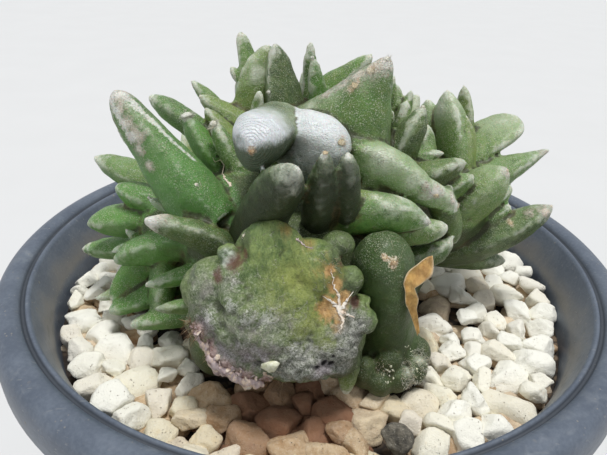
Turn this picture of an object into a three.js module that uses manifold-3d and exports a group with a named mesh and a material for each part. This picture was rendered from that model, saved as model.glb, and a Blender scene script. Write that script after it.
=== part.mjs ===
// A monstrose ariocarpus in a round black pot, top-dressed with pale gravel.
// Millimetres, +Z up. The origin is on the pot's axis, at the level of its foot.
import * as THREE from "three";
import { mergeVertices } from "three/addons/utils/BufferGeometryUtils.js";
import Module from "manifold-3d";

const wasm = await Module();
wasm.setup();

// Driving dimensions
const potHeight = 100;
const rimRadius = 60;
const footRadius = 43;
const wall = 2.6;
const gravelTop = 92; // the level that the stones' tops reach
const bedTop = 90; // the stones stand out of the bed above this level
const bedBottom = 84;
const soilBottom = 5.3;
const gap = 0.3; // between pieces that touch
const neckRadius = 13; // the thick root, where it enters the soil
const rootDepth = 34;

// Pot
const pot = {
  sides: 36,
  neckRadius: 56.4, // the wall under the rim
  rimDepth: 8.5,
  grooveRadius: 54.6,
  innerRadius: 53.6, // the wall's inside, just below the groove
  bedRadius: 50.6, // the wall's inside, where the gravel lies
  footRing: 6,
  footLift: 2,
  floor: 5,
  drainRadius: 7,
};

// The wall's inside radius at a height, straight between the bed and the pot's floor
const floorRadius = footRadius - wall - 1;
function insideRadius(z) {
  const share = (z - pot.floor) / (bedTop - pot.floor);
  return floorRadius + (pot.bedRadius - floorRadius) * share;
}

// Gravel
const gravel = {
  seed: 2024,
  count: 225,
  smallest: 1.8,
  largest: 3.5,
  rounds: 60,
  apart: 0.12, // between neighbouring stones
};
const darkStone = { at: [12.4, -42.6], radius: 2.7, height: 3.4 };

// Where the plant meets the gravel: x, y and radius of each place
const footprints = [
  [0, -3, 21],
  [-23, -8, 10],
  [-15, -26, 4.5],
  [13, -26, 5.8],
  [-4, -22, 7.5],
];

// How a tubercle's girth runs from its foot to its tip, and how sharp its two sides are
const forms = {
  horn: { foot: 1, peak: 0.2, tipShare: 0.3, power: 1.25, round: 0.14, sharp: 1.3 },
  bluntHorn: { foot: 1, peak: 0.2, tipShare: 0.42, power: 1.15, round: 0.18, sharp: 1.3 },
  leaf: { foot: 0.85, peak: 0.35, tipShare: 0.32, power: 1.7, round: 0.16, sharp: 1.3 },
  tongue: { foot: 0.8, peak: 0.42, tipShare: 0.45, power: 2.2, round: 0.24, sharp: 1.25 },
  finger: { foot: 0.95, peak: 0.3, tipShare: 0.7, power: 1.8, round: 0.32, sharp: 1 },
  dome: { foot: 0.95, peak: 0.4, tipShare: 0.85, power: 2, round: 0.6, sharp: 1 },
  column: { foot: 1, peak: 0.3, tipShare: 0.95, power: 2, round: 0.26, sharp: 1 },
  spike: { foot: 1, peak: 0.05, tipShare: 0.3, power: 1, round: 0.12, sharp: 1.2 },
  cone: { foot: 1, peak: 0.12, tipShare: 0.06, power: 0.95, round: 0.06, sharp: 1.2 },
  post: { foot: 0.84, peak: 0.6, tipShare: 0.95, power: 2, round: 0.24, sharp: 1 },
  fan: { foot: 0.75, peak: 0.55, tipShare: 0.72, power: 2.6, round: 0.16, sharp: 1.2 },
};

// Lumps of the body: centre x, y and height above the gravel, then the three radii
const lumps = {
  heart: [[0, -1, 13], [25, 22.5, 24]],
  leftShoulder: [[-12, -14, 16], [11.5, 12, 13.5]],
  rightShoulder: [[4, -13, 18], [11.5, 12, 15]],
  leftHead: [[-25, -5, 11], [9.5, 12, 11.5]],
  rightHead: [[24, 1, 18.5], [11, 12, 10]],
  backHead: [[4, 15, 14], [20, 12, 15]],
  frontStem: [[-5, -22, 8], [12, 9, 12]],
  lowLobe: [[-15.5, -28, 5], [4.6, 5, 6]],
  lumpNeck: [[-3, -24, 19], [10, 7.5, 7.5]],
  pillarFoot: [[12.6, -26, 3.5], [5.8, 6.4, 6]],
  pillarBack: [[10, -20, 9], [8, 8, 10]],
};

// The swollen, scarred growth at the front is a mass of overlapping lobes
const frontLobes = {
  core: [[-6.5, -31.5, 15.8], [10.5, 8.8, 9.2]],
  leftRidge: [[-14.6, -33, 18.4], [4, 4.2, 5.6]],
  leftLow: [[-14.6, -33.4, 13.4], [4.2, 4.2, 4.6]],
  belly: [[-9, -35.8, 15.6], [5.6, 5.2, 6]],
  lowLeft: [[-11, -36, 11.2], [4.6, 4.2, 3.7]],
  bottomRoll: [[-2.2, -36.2, 10.5], [7.4, 4.8, 3.9]],
  lowRight: [[2.4, -35.2, 13], [4.5, 4.8, 5.8]],
  shoulderLeft: [[-11.6, -33.6, 21.2], [3.6, 3.6, 3.2]],
  shoulderRight: [[-0.8, -32.6, 22.4], [4.6, 4.2, 4.8]],
  roundNub: [[6.2, -34.8, 15.6], [2.3, 1.9, 2]],
  tornNub: [[4.8, -32.5, 20.6], [2.2, 2, 2.4]],
  upperNub: [[3, -30.5, 25.6], [2.4, 2, 1.9]],
  leftWing: [[-17.2, -31.4, 17.6], [2.6, 2.8, 3.8]],
};

// Small lobes round the foot of the pillar
const pillarLobes = {
  lobeA: [[8.4, -32.2, 3.2], [2, 2, 3]],
  lobeB: [[10.9, -33, 1.8], [2.2, 2, 2.4]],
  lobeC: [[13.8, -32.4, 2.4], [2.1, 2, 2.6]],
  lobeD: [[16.6, -30.6, 2.6], [2.2, 2.1, 2.8]],
  lobeE: [[12.2, -31.8, 5.4], [2.2, 1.8, 2.2]],
  lobeF: [[17.4, -27.4, 3.4], [2.4, 2.4, 3]],
};

// Each tubercle: root and tip as x, y and height above the gravel, its width and its form.
// thick is its other thickness as a share of the width, and bend arches it towards the crown.
const tubercles = {
  greatHorn: { root: [-17.5, -19, 25], tip: [-32.2, -14, 42.3], wide: 12.5, form: "bluntHorn", thick: 0.8 },
  backFinger: { root: [-19, -4, 30.5], tip: [-30.3, -2, 38.3], wide: 5.8, form: "finger", bend: 0.05 },
  splitTop: { root: [-18, 3, 35], tip: [-23.8, 4, 40], wide: 2.6, form: "finger" },
  splitMid: { root: [-13, 0, 33], tip: [-22, 1, 38], wide: 5.8, form: "leaf" },
  splitLow: { root: [-14, -6, 31], tip: [-20, -4, 37.2], wide: 5.4, form: "leaf" },
  woolA: { root: [-17, -9.5, 28], tip: [-23, -6, 36.4], wide: 5.6, form: "tongue" },
  woolB: { root: [-13, -12.5, 29], tip: [-17.5, -10, 36.5], wide: 4.6, form: "finger" },
  topSpike: { root: [-12.3, 15, 33], tip: [-16, 18, 46.8], wide: 8, form: "spike" },
  topNub: { root: [-14, 15, 35.5], tip: [-18.2, 16, 40.3], wide: 2.9, form: "finger" },
  wedgeLeft: { root: [-13, 3.5, 31.5], tip: [-9.4, 6, 46.6], wide: 9.5, form: "tongue", thick: 0.7 },
  wedgeRight: { root: [-5.2, 1, 32], tip: [-8.2, 4, 47], wide: 9.5, form: "leaf", thick: 0.7 },
  wedgeNub: { root: [-11.4, -2, 33], tip: [-10.3, -3, 40.3], wide: 3.2, form: "finger" },
  thinSpike: { root: [-1.8, 8, 34], tip: [-1.7, 10, 47], wide: 3.2, form: "tongue" },
  smallHorn: { root: [0.4, 4, 35], tip: [-1.3, 4, 45], wide: 4.2, form: "leaf" },
  crownHorn: { root: [2.5, -8.5, 32], tip: [10.1, -14.5, 48.8], wide: 25, form: "cone", thick: 0.95 },
  crownLeaf: { root: [0, 8.5, 37], tip: [10, 6, 45.2], wide: 5.6, form: "leaf" },
  crownBead: { root: [7.5, -2, 33], tip: [11.3, -2, 42.4], wide: 4.6, form: "dome" },
  crownNub: { root: [11, 0, 34.5], tip: [13.2, 0, 43.2], wide: 3.2, form: "finger" },
  clusterA: { root: [14.6, -1, 32.5], tip: [16.4, -1, 40.9], wide: 3, form: "finger" },
  clusterB: { root: [13, 0, 32.5], tip: [14.2, 1, 41.2], wide: 4.6, form: "tongue" },
  clusterC: { root: [9.5, -8, 30.5], tip: [12.3, -8, 39], wide: 3.4, form: "finger" },
  clusterD: { root: [14, -3, 31], tip: [15.4, -3, 39.2], wide: 5, form: "dome" },
  spotLeaf: { root: [12, -8.5, 27], tip: [17.4, -8.5, 40], wide: 7.4, form: "tongue", thick: 0.75 },
  paleLeaf: { root: [21.5, 3.5, 28], tip: [21, 6, 37.5], wide: 5.6, form: "tongue" },
  paleDome: { root: [19.2, -4.5, 26], tip: [19, -3.5, 35.6], wide: 6, form: "dome" },
  paleFinger: { root: [14.5, -6, 29.6], tip: [22.4, -7.5, 31.5], wide: 3, form: "finger" },
  rightTongue: { root: [26.5, 0, 23], tip: [23.4, 2, 40], wide: 10, form: "tongue", thick: 0.65 },
  tongueSide: { root: [27.5, -1.5, 23.5], tip: [26.8, 0.5, 36], wide: 6.4, form: "tongue" },
  farSpike: { root: [31, 9.5, 26], tip: [28.8, 11, 39.2], wide: 4.6, form: "tongue" },
  broadLeaf: { root: [27, 6, 25], tip: [40.6, 10, 33], wide: 12, form: "fan", thick: 0.45 },
  rightHorn: { root: [27.5, 1, 20.5], tip: [44, 0, 30.2], wide: 15, form: "cone", thick: 0.75 },
  greyWedge: { root: [24.5, -4.5, 18], tip: [33, -9.5, 29.6], wide: 10.5, form: "tongue", thick: 0.85 },
  midLeaf: { root: [13.5, -10.5, 26.5], tip: [25, -12, 31.6], wide: 7.6, form: "leaf" },
  midLeafLow: { root: [18, -9, 23], tip: [27.2, -11, 28.8], wide: 7.6, form: "leaf" },
  hiddenLeafA: { root: [29, -3, 16], tip: [37.2, -3, 23.6], wide: 7, form: "leaf" },
  hiddenLeafB: { root: [30, -4.5, 14.5], tip: [37, -5, 20.6], wide: 4.2, form: "finger" },
  lowHorn: { root: [26.5, -4, 11], tip: [44, -6.5, 21.3], wide: 10, form: "leaf", thick: 0.8, bend: -0.04 },
  lowDome: { root: [24, -3, 9], tip: [39.6, -2, 6.6], wide: 6.8, form: "dome" },
  ridgeLeaf: { root: [2, -16, 33.5], tip: [18.4, -20, 28.6], wide: 8.8, form: "tongue", bend: 0.1 },
  ridgeFinger: { root: [9.5, -17.5, 29.8], tip: [22.8, -19, 26.2], wide: 6.2, form: "finger", bend: 0.08 },
  ridgeDrop: { root: [20.5, -17.8, 26.4], tip: [24, -16.5, 18.5], wide: 5, form: "finger" },
  smallDome: { root: [3, -21, 28.5], tip: [9.6, -25, 30.3], wide: 5.2, form: "leaf" },
  armFinger: { root: [3, -21, 23.5], tip: [17.4, -25, 26.4], wide: 8.4, form: "tongue", bend: 0.14 },
  armUnder: { root: [9.5, -20, 22], tip: [20.8, -22, 24.4], wide: 6.2, form: "finger" },
  armLow: { root: [12, -18, 16], tip: [22.6, -20, 21], wide: 6, form: "finger", bend: -0.1 },
  twinA: { root: [-0.4, -22.5, 23.5], tip: [0.6, -31, 39.8], wide: 4.8, form: "finger", bend: -0.08 },
  twinB: { root: [4.3, -22.5, 25], tip: [3.6, -29.5, 39.2], wide: 4.6, form: "finger", bend: -0.06 },
  greyDome: { root: [-3.5, -15, 36], tip: [3.2, -25.2, 37.8], wide: 9.6, form: "tongue", thick: 1.2 },
  ringDome: { root: [-6.5, -16, 38], tip: [-9.2, -31, 40.4], wide: 8, form: "column", thick: 1.1 },
  thumb: { root: [-10.5, -24, 21], tip: [-3.4, -35, 39], wide: 7.8, form: "finger", bend: 0.04 },
  leftArm: { root: [-12.5, -24.5, 19], tip: [-25.4, -28, 27], wide: 7.6, form: "bluntHorn", bend: 0.08 },
  leafL1: { root: [-27, 1, 18.5], tip: [-43.6, 2, 25], wide: 9, form: "leaf" },
  leafL2: { root: [-26, -6, 18.5], tip: [-36.8, -7, 22.8], wide: 7.6, form: "tongue" },
  nubL2: { root: [-22.5, -12.5, 19.5], tip: [-28.4, -15, 24.6], wide: 2.9, form: "finger" },
  leafL3: { root: [-28.5, -6.5, 15.5], tip: [-43, -7, 14.8], wide: 8.8, form: "tongue", bend: 0.06 },
  leafL4: { root: [-29, -4, 9.5], tip: [-46.6, -4, 7.4], wide: 7.6, form: "leaf" },
  leafL5: { root: [-28, -10.5, 14.5], tip: [-37, -13, 12.4], wide: 4.2, form: "leaf" },
  nubL5: { root: [-29.5, -12.5, 13], tip: [-33.5, -14, 17.8], wide: 2.4, form: "finger" },
  leafL6: { root: [-21.5, -17.5, 16.5], tip: [-34.6, -18, 13.4], wide: 7.6, form: "tongue", bend: 0.1 },
  brightFinger: { root: [-18.5, -22.5, 15.5], tip: [-27, -27, 14.8], wide: 4, form: "leaf" },
  leafL7: { root: [-30, -12, 12], tip: [-37, -17, 4.4], wide: 6, form: "leaf" },
  leafL8: { root: [-31, -12.5, 5.5], tip: [-40.8, -15, 3.2], wide: 4, form: "leaf" },
  leafL9: { root: [-27.5, -15.5, 6.5], tip: [-36.8, -19, 3.4], wide: 6, form: "leaf" },
  stalkL: { root: [-25.5, -15.5, 16], tip: [-27, -21.5, 2.5], wide: 6.2, form: "finger" },
  leafL10: { root: [-21, -19.5, 4.8], tip: [-31.8, -23, 3.8], wide: 5.8, form: "leaf" },
  spinyNub: { root: [-14.5, -27, 12.5], tip: [-24.4, -31, 13.4], wide: 4.2, form: "leaf" },
  woolBulb: { root: [-10.8, -26, 20.5], tip: [-12.6, -33, 25], wide: 4, form: "dome" },
  woolBulbNear: { root: [-9, -26, 22.5], tip: [-9.6, -31.5, 26.6], wide: 2.6, form: "finger" },
  pillar: { root: [13, -26.5, 1], tip: [9.4, -28, 26.2], wide: 10.2, form: "post", thick: 0.95 },
  hornNub: { root: [-14, -20, 24], tip: [-18.2, -23, 30.8], wide: 3.4, form: "spike" },
  hornBack: { root: [-29.5, -6, 26.5], tip: [-35.2, -6, 34], wide: 2.8, form: "finger" },
  lowLobeNub: { root: [-5, -29, 4], tip: [-3.6, -34, 2.6], wide: 3, form: "dome" },
  stripR: { root: [3.5, -30.5, 13], tip: [5.8, -32.5, 2], wide: 4, form: "finger" },
  lumpCone: { root: [-6.2, -33.5, 14], tip: [-6.3, -32, 29.8], wide: 20, form: "horn", thick: 0.65 },
  ridgeRight: { root: [3.2, -34.8, 12], tip: [1.2, -32.4, 26.6], wide: 6, form: "finger", thick: 0.9 },
  ridgeMid: { root: [-2.6, -36.8, 12], tip: [-5.2, -32.6, 27.4], wide: 5.2, form: "finger", thick: 0.9 },
  ridgeLeft: { root: [-12.4, -36.4, 17], tip: [-7.4, -32.4, 27.6], wide: 4.6, form: "finger", thick: 0.9 },
};

// The far side repeats the growth of the near side by rule: on each head the tubercles follow
// one another round the apex by the golden angle, and those that face the near side are left out.
const goldenAngle = 137.5;
const farHeads = [
  { seed: 5, centre: [4, 12, 15], radii: [19, 15, 15], count: 46, spread: 108, behind: 0.12, size: 1 },
  { seed: 11, centre: [-24, 1, 11], radii: [10, 12, 11], count: 20, spread: 100, behind: 0.3, size: 0.85 },
  { seed: 23, centre: [24, 5, 17], radii: [10, 10, 9], count: 18, spread: 100, behind: 0.35, size: 0.85 },
];
const farKinds = ["leaf", "horn", "tongue", "leaf", "finger"];
const lowestTip = 3; // above the gravel

function seeded(seed) {
  let state = seed;
  return () => {
    state = (state * 16807) % 2147483647;
    return state / 2147483647;
  };
}

const lerp = (a, b, share) => a + (b - a) * share;
const radians = (degrees) => (degrees * Math.PI) / 180;

function solidFrom(geometry) {
  geometry.deleteAttribute("normal");
  geometry.deleteAttribute("uv");
  const merged = mergeVertices(geometry, 1e-4);
  return new wasm.Manifold(
    new wasm.Mesh({
      numProp: 3,
      vertProperties: merged.attributes.position.array,
      triVerts: new Uint32Array(merged.index.array),
    }),
  );
}

function meshFrom(solid, name, colour, roughness) {
  const { vertProperties, triVerts } = solid.getMesh();
  const geometry = new THREE.BufferGeometry();
  geometry.setAttribute("position", new THREE.BufferAttribute(vertProperties, 3));
  geometry.setIndex(new THREE.BufferAttribute(triVerts, 1));
  geometry.computeVertexNormals();
  const material = new THREE.MeshStandardMaterial({ color: colour, roughness, metalness: 0 });
  const mesh = new THREE.Mesh(geometry, material);
  mesh.name = name;
  return mesh;
}

// The outer body alone: hollows that joining sealed are filled, and loose scraps are dropped
function wholeBody(solid) {
  return solid.decompose().sort((a, b) => b.volume() - a.volume())[0];
}

// A solid turned about the Z axis from a profile of [radius, height] pairs
function turned(profile, sides) {
  const points = profile.map(([r, z]) => new THREE.Vector2(r, z));
  const geometry = new THREE.LatheGeometry(points, sides);
  geometry.rotateX(Math.PI / 2);
  return solidFrom(geometry);
}

function ellipsoid([x, y, h], [rx, ry, rz], across, along) {
  const geometry = new THREE.SphereGeometry(1, across, along);
  geometry.rotateX(Math.PI / 2);
  geometry.scale(rx, ry, rz);
  geometry.translate(x, y, gravelTop + h);
  return solidFrom(geometry);
}

function makePot() {
  const top = potHeight;
  const rimUnder = top - pot.rimDepth;
  const footInside = footRadius - pot.footRing;
  const profile = [
    [pot.drainRadius, pot.footLift],
    [footInside - 1, pot.footLift],
    [footInside, 0],
    [footRadius - 0.8, 0],
    [footRadius, 0.8],
    [lerp(footRadius, pot.neckRadius, 0.5), lerp(0, rimUnder, 0.46)],
    [pot.neckRadius, rimUnder - 0.4],
    [rimRadius - 0.9, rimUnder],
    [rimRadius - 0.1, rimUnder + 0.9],
    [rimRadius, top - 3.2],
    [rimRadius - 0.5, top - 1.3],
    [rimRadius - 1.7, top - 0.3],
    [rimRadius - 3.2, top],
    [pot.grooveRadius + 0.7, top - 0.5],
    [pot.grooveRadius + 0.3, top - 1.3],
    [pot.grooveRadius - 0.3, top - 1.3],
    [pot.grooveRadius - 0.6, top - 0.8],
    [pot.innerRadius, top - 1.6],
    [pot.bedRadius + 0.5, gravelTop + 0.6],
    [pot.bedRadius, bedTop],
    [floorRadius, pot.floor],
    [pot.drainRadius, pot.floor],
    [pot.drainRadius, pot.footLift],
  ];
  return turned(profile, pot.sides);
}

// The potting mix fills the pot up to the gravel, round the plant's root
function makeSoil() {
  const rootEnd = bedBottom - rootDepth;
  const profile = [
    [0, soilBottom],
    [insideRadius(soilBottom) - gap, soilBottom],
    [insideRadius(bedBottom - gap) - gap, bedBottom - gap],
    [neckRadius + gap, bedBottom - gap],
    [neckRadius * 0.45 + gap, rootEnd],
    [0, rootEnd - gap],
  ];
  return turned(profile, 32);
}

// Loose stones lie side by side: random places are pushed apart until none is too near another,
// the plant, the dark stone or the wall.
function stonePlaces() {
  const random = seeded(gravel.seed);
  const limit = pot.bedRadius - 0.8;
  const stones = [];
  for (let i = 0; i < gravel.count; i += 1) {
    const angle = random() * 2 * Math.PI;
    const distance = lerp(22, limit, Math.sqrt(random()));
    const radius = lerp(gravel.smallest, gravel.largest, random() ** 1.3);
    stones.push({ x: Math.cos(angle) * distance, y: Math.sin(angle) * distance, radius });
  }
  const keepOut = [...footprints, [...darkStone.at, darkStone.radius + 0.6]];
  for (let round = 0; round < gravel.rounds; round += 1) {
    for (let i = 0; i < stones.length; i += 1) {
      const a = stones[i];
      for (let j = i + 1; j < stones.length; j += 1) {
        const b = stones[j];
        const dx = b.x - a.x;
        const dy = b.y - a.y;
        const want = a.radius + b.radius + gravel.apart;
        const apart = Math.hypot(dx, dy) || 0.01;
        if (apart < want) {
          const push = (0.5 * (want - apart)) / apart;
          a.x -= dx * push;
          a.y -= dy * push;
          b.x += dx * push;
          b.y += dy * push;
        }
      }
    }
    for (const stone of stones) {
      for (const [x, y, radius] of keepOut) {
        const apart = Math.hypot(stone.x - x, stone.y - y) || 0.01;
        const want = radius + stone.radius;
        if (apart < want) {
          stone.x = x + ((stone.x - x) * want) / apart;
          stone.y = y + ((stone.y - y) * want) / apart;
        }
      }
      const out = Math.hypot(stone.x, stone.y);
      const most = limit - stone.radius;
      if (out > most) {
        stone.x *= most / out;
        stone.y *= most / out;
      }
    }
  }
  return stones;
}

// One stone: a tapering drum of four or five uneven sides with a low peak, its foot sunk in the bed
function makeStone(stone, random) {
  const sides = stone.radius < 2.4 ? 4 : 5;
  const turn = random() * Math.PI;
  const slim = lerp(0.82, 1, random());
  const top = gravelTop - lerp(0.1, 0.9, random());
  const rings = [
    { z: bedTop - 0.6, reach: 0.9 },
    { z: lerp(bedTop, top, 0.72), reach: 0.84 },
  ];
  const reaches = Array.from({ length: sides }, () => lerp(0.86, 1.0, random()));
  const positions = [];
  for (const ring of rings) {
    for (let i = 0; i < sides; i += 1) {
      const angle = turn + (2 * Math.PI * i) / sides;
      const reach = stone.radius * ring.reach * reaches[i];
      positions.push(stone.x + Math.cos(angle) * reach, stone.y + Math.sin(angle) * reach * slim, ring.z);
    }
  }
  positions.push(stone.x, stone.y, rings[0].z, stone.x, stone.y, top);
  const [foot, peak] = [2 * sides, 2 * sides + 1];
  const index = [];
  for (let i = 0; i < sides; i += 1) {
    const next = (i + 1) % sides;
    index.push(i, next, sides + next, i, sides + next, sides + i);
    index.push(next, i, foot, sides + i, sides + next, peak);
  }
  const geometry = new THREE.BufferGeometry();
  geometry.setAttribute("position", new THREE.Float32BufferAttribute(positions, 3));
  geometry.setIndex(index);
  return solidFrom(geometry);
}

// Stones that would cross the plant are left out
function makeGravel(plant) {
  const random = seeded(gravel.seed + 1);
  const bed = turned(
    [
      [neckRadius + gap, bedBottom],
      [insideRadius(bedBottom) - gap, bedBottom],
      [pot.bedRadius - gap, bedTop],
      [neckRadius + gap, bedTop],
      [neckRadius + gap, bedBottom],
    ],
    40,
  );
  const stones = stonePlaces().map((stone) => makeStone(stone, random));
  const clear = stones.filter((stone) => plant.intersect(stone).isEmpty());
  return wholeBody(wasm.Manifold.union([bed, ...clear]));
}

function makeDarkStone() {
  const geometry = new THREE.IcosahedronGeometry(1, 1);
  geometry.scale(darkStone.radius * 0.8, darkStone.radius * 0.8, darkStone.height / 2);
  geometry.rotateY(0.2);
  const [x, y] = darkStone.at;
  geometry.translate(x, y, bedTop + gap + darkStone.height / 2);
  return solidFrom(geometry);
}

function girthAt(form, t) {
  const { foot, peak, tipShare, power, round } = forms[form];
  let share =
    t < peak
      ? lerp(foot, 1, Math.sin(((t / peak) * Math.PI) / 2))
      : 1 - (1 - tipShare) * ((t - peak) / (1 - peak)) ** power;
  const capStart = 1 - round;
  if (t > capStart) share *= Math.sqrt(Math.max(0, 1 - ((t - capStart) / round) ** 2));
  return share;
}

// One tubercle: oval sections strung along an arched line, flatter on the face towards the crown
// and keeled on the other. Its foot is sunk past the root, well into the body.
const crown = new THREE.Vector3(0, -2, gravelTop + 58);
const sunk = 2.5;
function makeTubercle({ root, tip, wide, form, thick = 0.8, bend = 0, plain = false }) {
  const large = wide > 7 && !plain;
  const sides = wide < 3.6 || plain ? 5 : large ? 8 : 6;
  const { round, sharp } = forms[form];
  const last = 1 - 0.3 * round;
  const stations = large ? [0, 0.3, 0.55, 0.78, last] : plain ? [0, 0.6, last] : [0, 0.45, 0.76, last];
  const end = new THREE.Vector3(tip[0], tip[1], gravelTop + tip[2]);
  const start = new THREE.Vector3(root[0], root[1], gravelTop + root[2]);
  const along = end.clone().sub(start).normalize();
  start.addScaledVector(along, -sunk);
  const middle = start.clone().lerp(end, 0.5);
  const face = crown.clone().sub(middle);
  face.addScaledVector(along, -face.dot(along)).normalize();
  middle.addScaledVector(face, 2 * bend * start.distanceTo(end));
  const line = new THREE.QuadraticBezierCurve3(start, middle, end);
  const positions = [];
  for (const t of stations) {
    const centre = line.getPoint(t);
    const tangent = line.getTangent(t);
    const side = new THREE.Vector3().crossVectors(face, tangent).normalize();
    const rise = new THREE.Vector3().crossVectors(tangent, side).normalize();
    const half = (girthAt(form, t) * wide) / 2;
    for (let i = 0; i < sides; i += 1) {
      const angle = (2 * Math.PI * (i + 0.5)) / sides;
      const up = Math.sin(angle);
      const across = Math.cos(angle) * half * (1 - 0.12 * Math.max(0, -up));
      const high = Math.sign(up) * Math.abs(up) ** sharp * half * thick * (up > 0 ? 0.85 : 1.1);
      const p = centre.clone().addScaledVector(side, across).addScaledVector(rise, high);
      positions.push(p.x, p.y, p.z);
    }
  }
  positions.push(start.x, start.y, start.z, end.x, end.y, end.z);
  const foot = stations.length * sides;
  const index = [];
  for (let ring = 0; ring < stations.length; ring += 1) {
    for (let i = 0; i < sides; i += 1) {
      const a = ring * sides + i;
      const b = ring * sides + ((i + 1) % sides);
      if (ring + 1 < stations.length) index.push(a, b, b + sides, a, b + sides, a + sides);
      if (ring === 0) index.push(b, a, foot);
      if (ring + 1 === stations.length) index.push(a, b, foot + 1);
    }
  }
  const geometry = new THREE.BufferGeometry();
  geometry.setAttribute("position", new THREE.Float32BufferAttribute(positions, 3));
  geometry.setIndex(index);
  return solidFrom(geometry);
}

function farTubercles() {
  const list = [];
  for (const head of farHeads) {
    const random = seeded(head.seed);
    for (let i = 0; i < head.count; i += 1) {
      const around = radians(i * goldenAngle + 10 * random());
      const down = radians(head.spread * Math.sqrt((i + 0.5) / head.count));
      const out = [Math.sin(down) * Math.cos(around), Math.sin(down) * Math.sin(around), Math.cos(down)];
      const length = head.size * lerp(9.5, 14.5, random());
      const wide = head.size * lerp(6, 9.5, random());
      const form = farKinds[Math.floor(random() * farKinds.length)];
      const root = out.map((share, axis) => head.centre[axis] + share * head.radii[axis] * 0.86);
      const tip = root.map((value, axis) => value + out[axis] * length);
      tip[2] += 0.35 * length;
      const low = Math.max(0, lowestTip - tip[2]);
      root[2] += low;
      tip[2] += low;
      if (out[1] > head.behind) list.push({ root, tip, wide, form, thick: 0.7, bend: 0.04, plain: true });
    }
  }
  return list;
}

// Slivers thinner than this, where tubercles cross, are merged into their neighbours
const sliver = 0.03;

function makeCactus() {
  const body = Object.values(lumps).map(([centre, radii]) => ellipsoid(centre, radii, 12, 7));
  const lobes = [...Object.values(frontLobes), ...Object.values(pillarLobes)];
  const bulges = lobes.map(([centre, radii]) => {
    const large = radii[0] > 5;
    return ellipsoid(centre, radii, large ? 14 : 9, large ? 8 : 6);
  });
  const grown = [...Object.values(tubercles), ...farTubercles()].map(makeTubercle);
  const above = wasm.Manifold.union([...body, ...bulges, ...grown]);
  const ground = turned([[0, 0], [80, 0], [80, bedTop + gap], [0, bedTop + gap]], 16);
  const root = turned(
    [
      [0, bedBottom - rootDepth],
      [neckRadius * 0.45, bedBottom - rootDepth + gap],
      [neckRadius, bedBottom],
      [neckRadius, bedTop + 4],
      [0, bedTop + 4],
    ],
    20,
  );
  return wholeBody(above.subtract(ground).add(root).asOriginal().simplify(sliver));
}

// A flake of dried orange skin that stands out from the pillar's right edge: its outline as x and
// height above the gravel, up one edge and down the other
const flake = {
  front: -32.4,
  thickness: 0.8,
  outline: [
    [15.9, 11],
    [16, 13],
    [15.6, 15.4],
    [15.1, 17.2],
    [14.8, 19.6],
    [15.6, 20.8],
    [16.4, 22.4],
    [16.4, 24],
    [15.8, 24.9],
    [14, 23.6],
    [12.6, 21.8],
    [12.2, 20.4],
    [12.6, 18.6],
    [13.1, 16.6],
    [14.2, 13.6],
  ],
};
function makeFlake() {
  const shape = new THREE.Shape(flake.outline.map(([x, h]) => new THREE.Vector2(x, h)));
  const geometry = new THREE.ExtrudeGeometry(shape, { depth: flake.thickness, bevelEnabled: false });
  geometry.rotateX(Math.PI / 2);
  geometry.translate(0, flake.front + flake.thickness, gravelTop);
  const [footCentre, footRadii] = lumps.pillarFoot;
  const clearance = wasm.Manifold.union([
    makeTubercle({ ...tubercles.pillar, wide: tubercles.pillar.wide + 2.5 * gap }),
    ellipsoid(footCentre, footRadii.map((radius) => radius + gap), 12, 7),
  ]);
  return wholeBody(solidFrom(geometry).subtract(clearance));
}

const cactus = makeCactus();
const object = new THREE.Group();
object.name = "potted_ariocarpus";
object.add(meshFrom(makePot(), "pot", 0x1b1e22, 0.75));
object.add(meshFrom(makeSoil(), "soil", 0x4a3b2c, 1));
object.add(meshFrom(makeGravel(cactus), "gravel", 0xe6dcc0, 0.9));
object.add(meshFrom(makeDarkStone(), "dark_stone", 0x4b4034, 0.95));
object.add(meshFrom(cactus, "cactus", 0x4f6b35, 0.6));
object.add(meshFrom(makeFlake(), "dried_flake", 0xc98a3c, 0.7));

export default object;
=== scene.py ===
import bmesh
import bpy
import math
import numpy as np
from mathutils import Matrix, Vector, noise
from mathutils.bvhtree import BVHTree


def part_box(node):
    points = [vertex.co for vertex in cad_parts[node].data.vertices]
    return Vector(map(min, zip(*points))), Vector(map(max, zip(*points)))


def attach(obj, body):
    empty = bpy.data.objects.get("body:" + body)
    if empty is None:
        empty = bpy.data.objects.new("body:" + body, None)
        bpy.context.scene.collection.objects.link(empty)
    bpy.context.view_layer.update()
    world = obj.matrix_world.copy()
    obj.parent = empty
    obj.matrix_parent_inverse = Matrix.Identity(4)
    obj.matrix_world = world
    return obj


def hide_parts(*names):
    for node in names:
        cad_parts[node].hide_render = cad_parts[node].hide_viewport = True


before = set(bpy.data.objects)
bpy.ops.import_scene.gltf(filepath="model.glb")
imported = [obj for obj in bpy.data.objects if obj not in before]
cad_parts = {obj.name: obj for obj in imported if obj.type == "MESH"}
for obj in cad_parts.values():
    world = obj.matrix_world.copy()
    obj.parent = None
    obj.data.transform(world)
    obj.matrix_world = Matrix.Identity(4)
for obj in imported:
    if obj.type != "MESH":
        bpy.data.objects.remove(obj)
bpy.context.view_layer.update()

# Lengths in this script are in millimetres, and meshes are made in metres
mm = 0.001
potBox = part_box("pot")
rimRadius = potBox[1].x / mm
potHeight = potBox[1].z / mm
gravelTop = potHeight - 8  # the level that the stones' tops reach
bedTop = gravelTop - 2


def lerp(a, b, share):
    return a + (b - a) * share


def smooth(low, high, value):
    share = np.clip((value - low) / (high - low), 0, 1)
    return share * share * (3 - 2 * share)


def seeded(seed):
    state = seed

    def draw():
        nonlocal state
        state = state * 16807 % 2147483647
        return state / 2147483647

    return draw


def addObject(name, data):
    thing = bpy.data.objects.new(name, data)
    bpy.context.scene.collection.objects.link(thing)
    return thing


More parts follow.
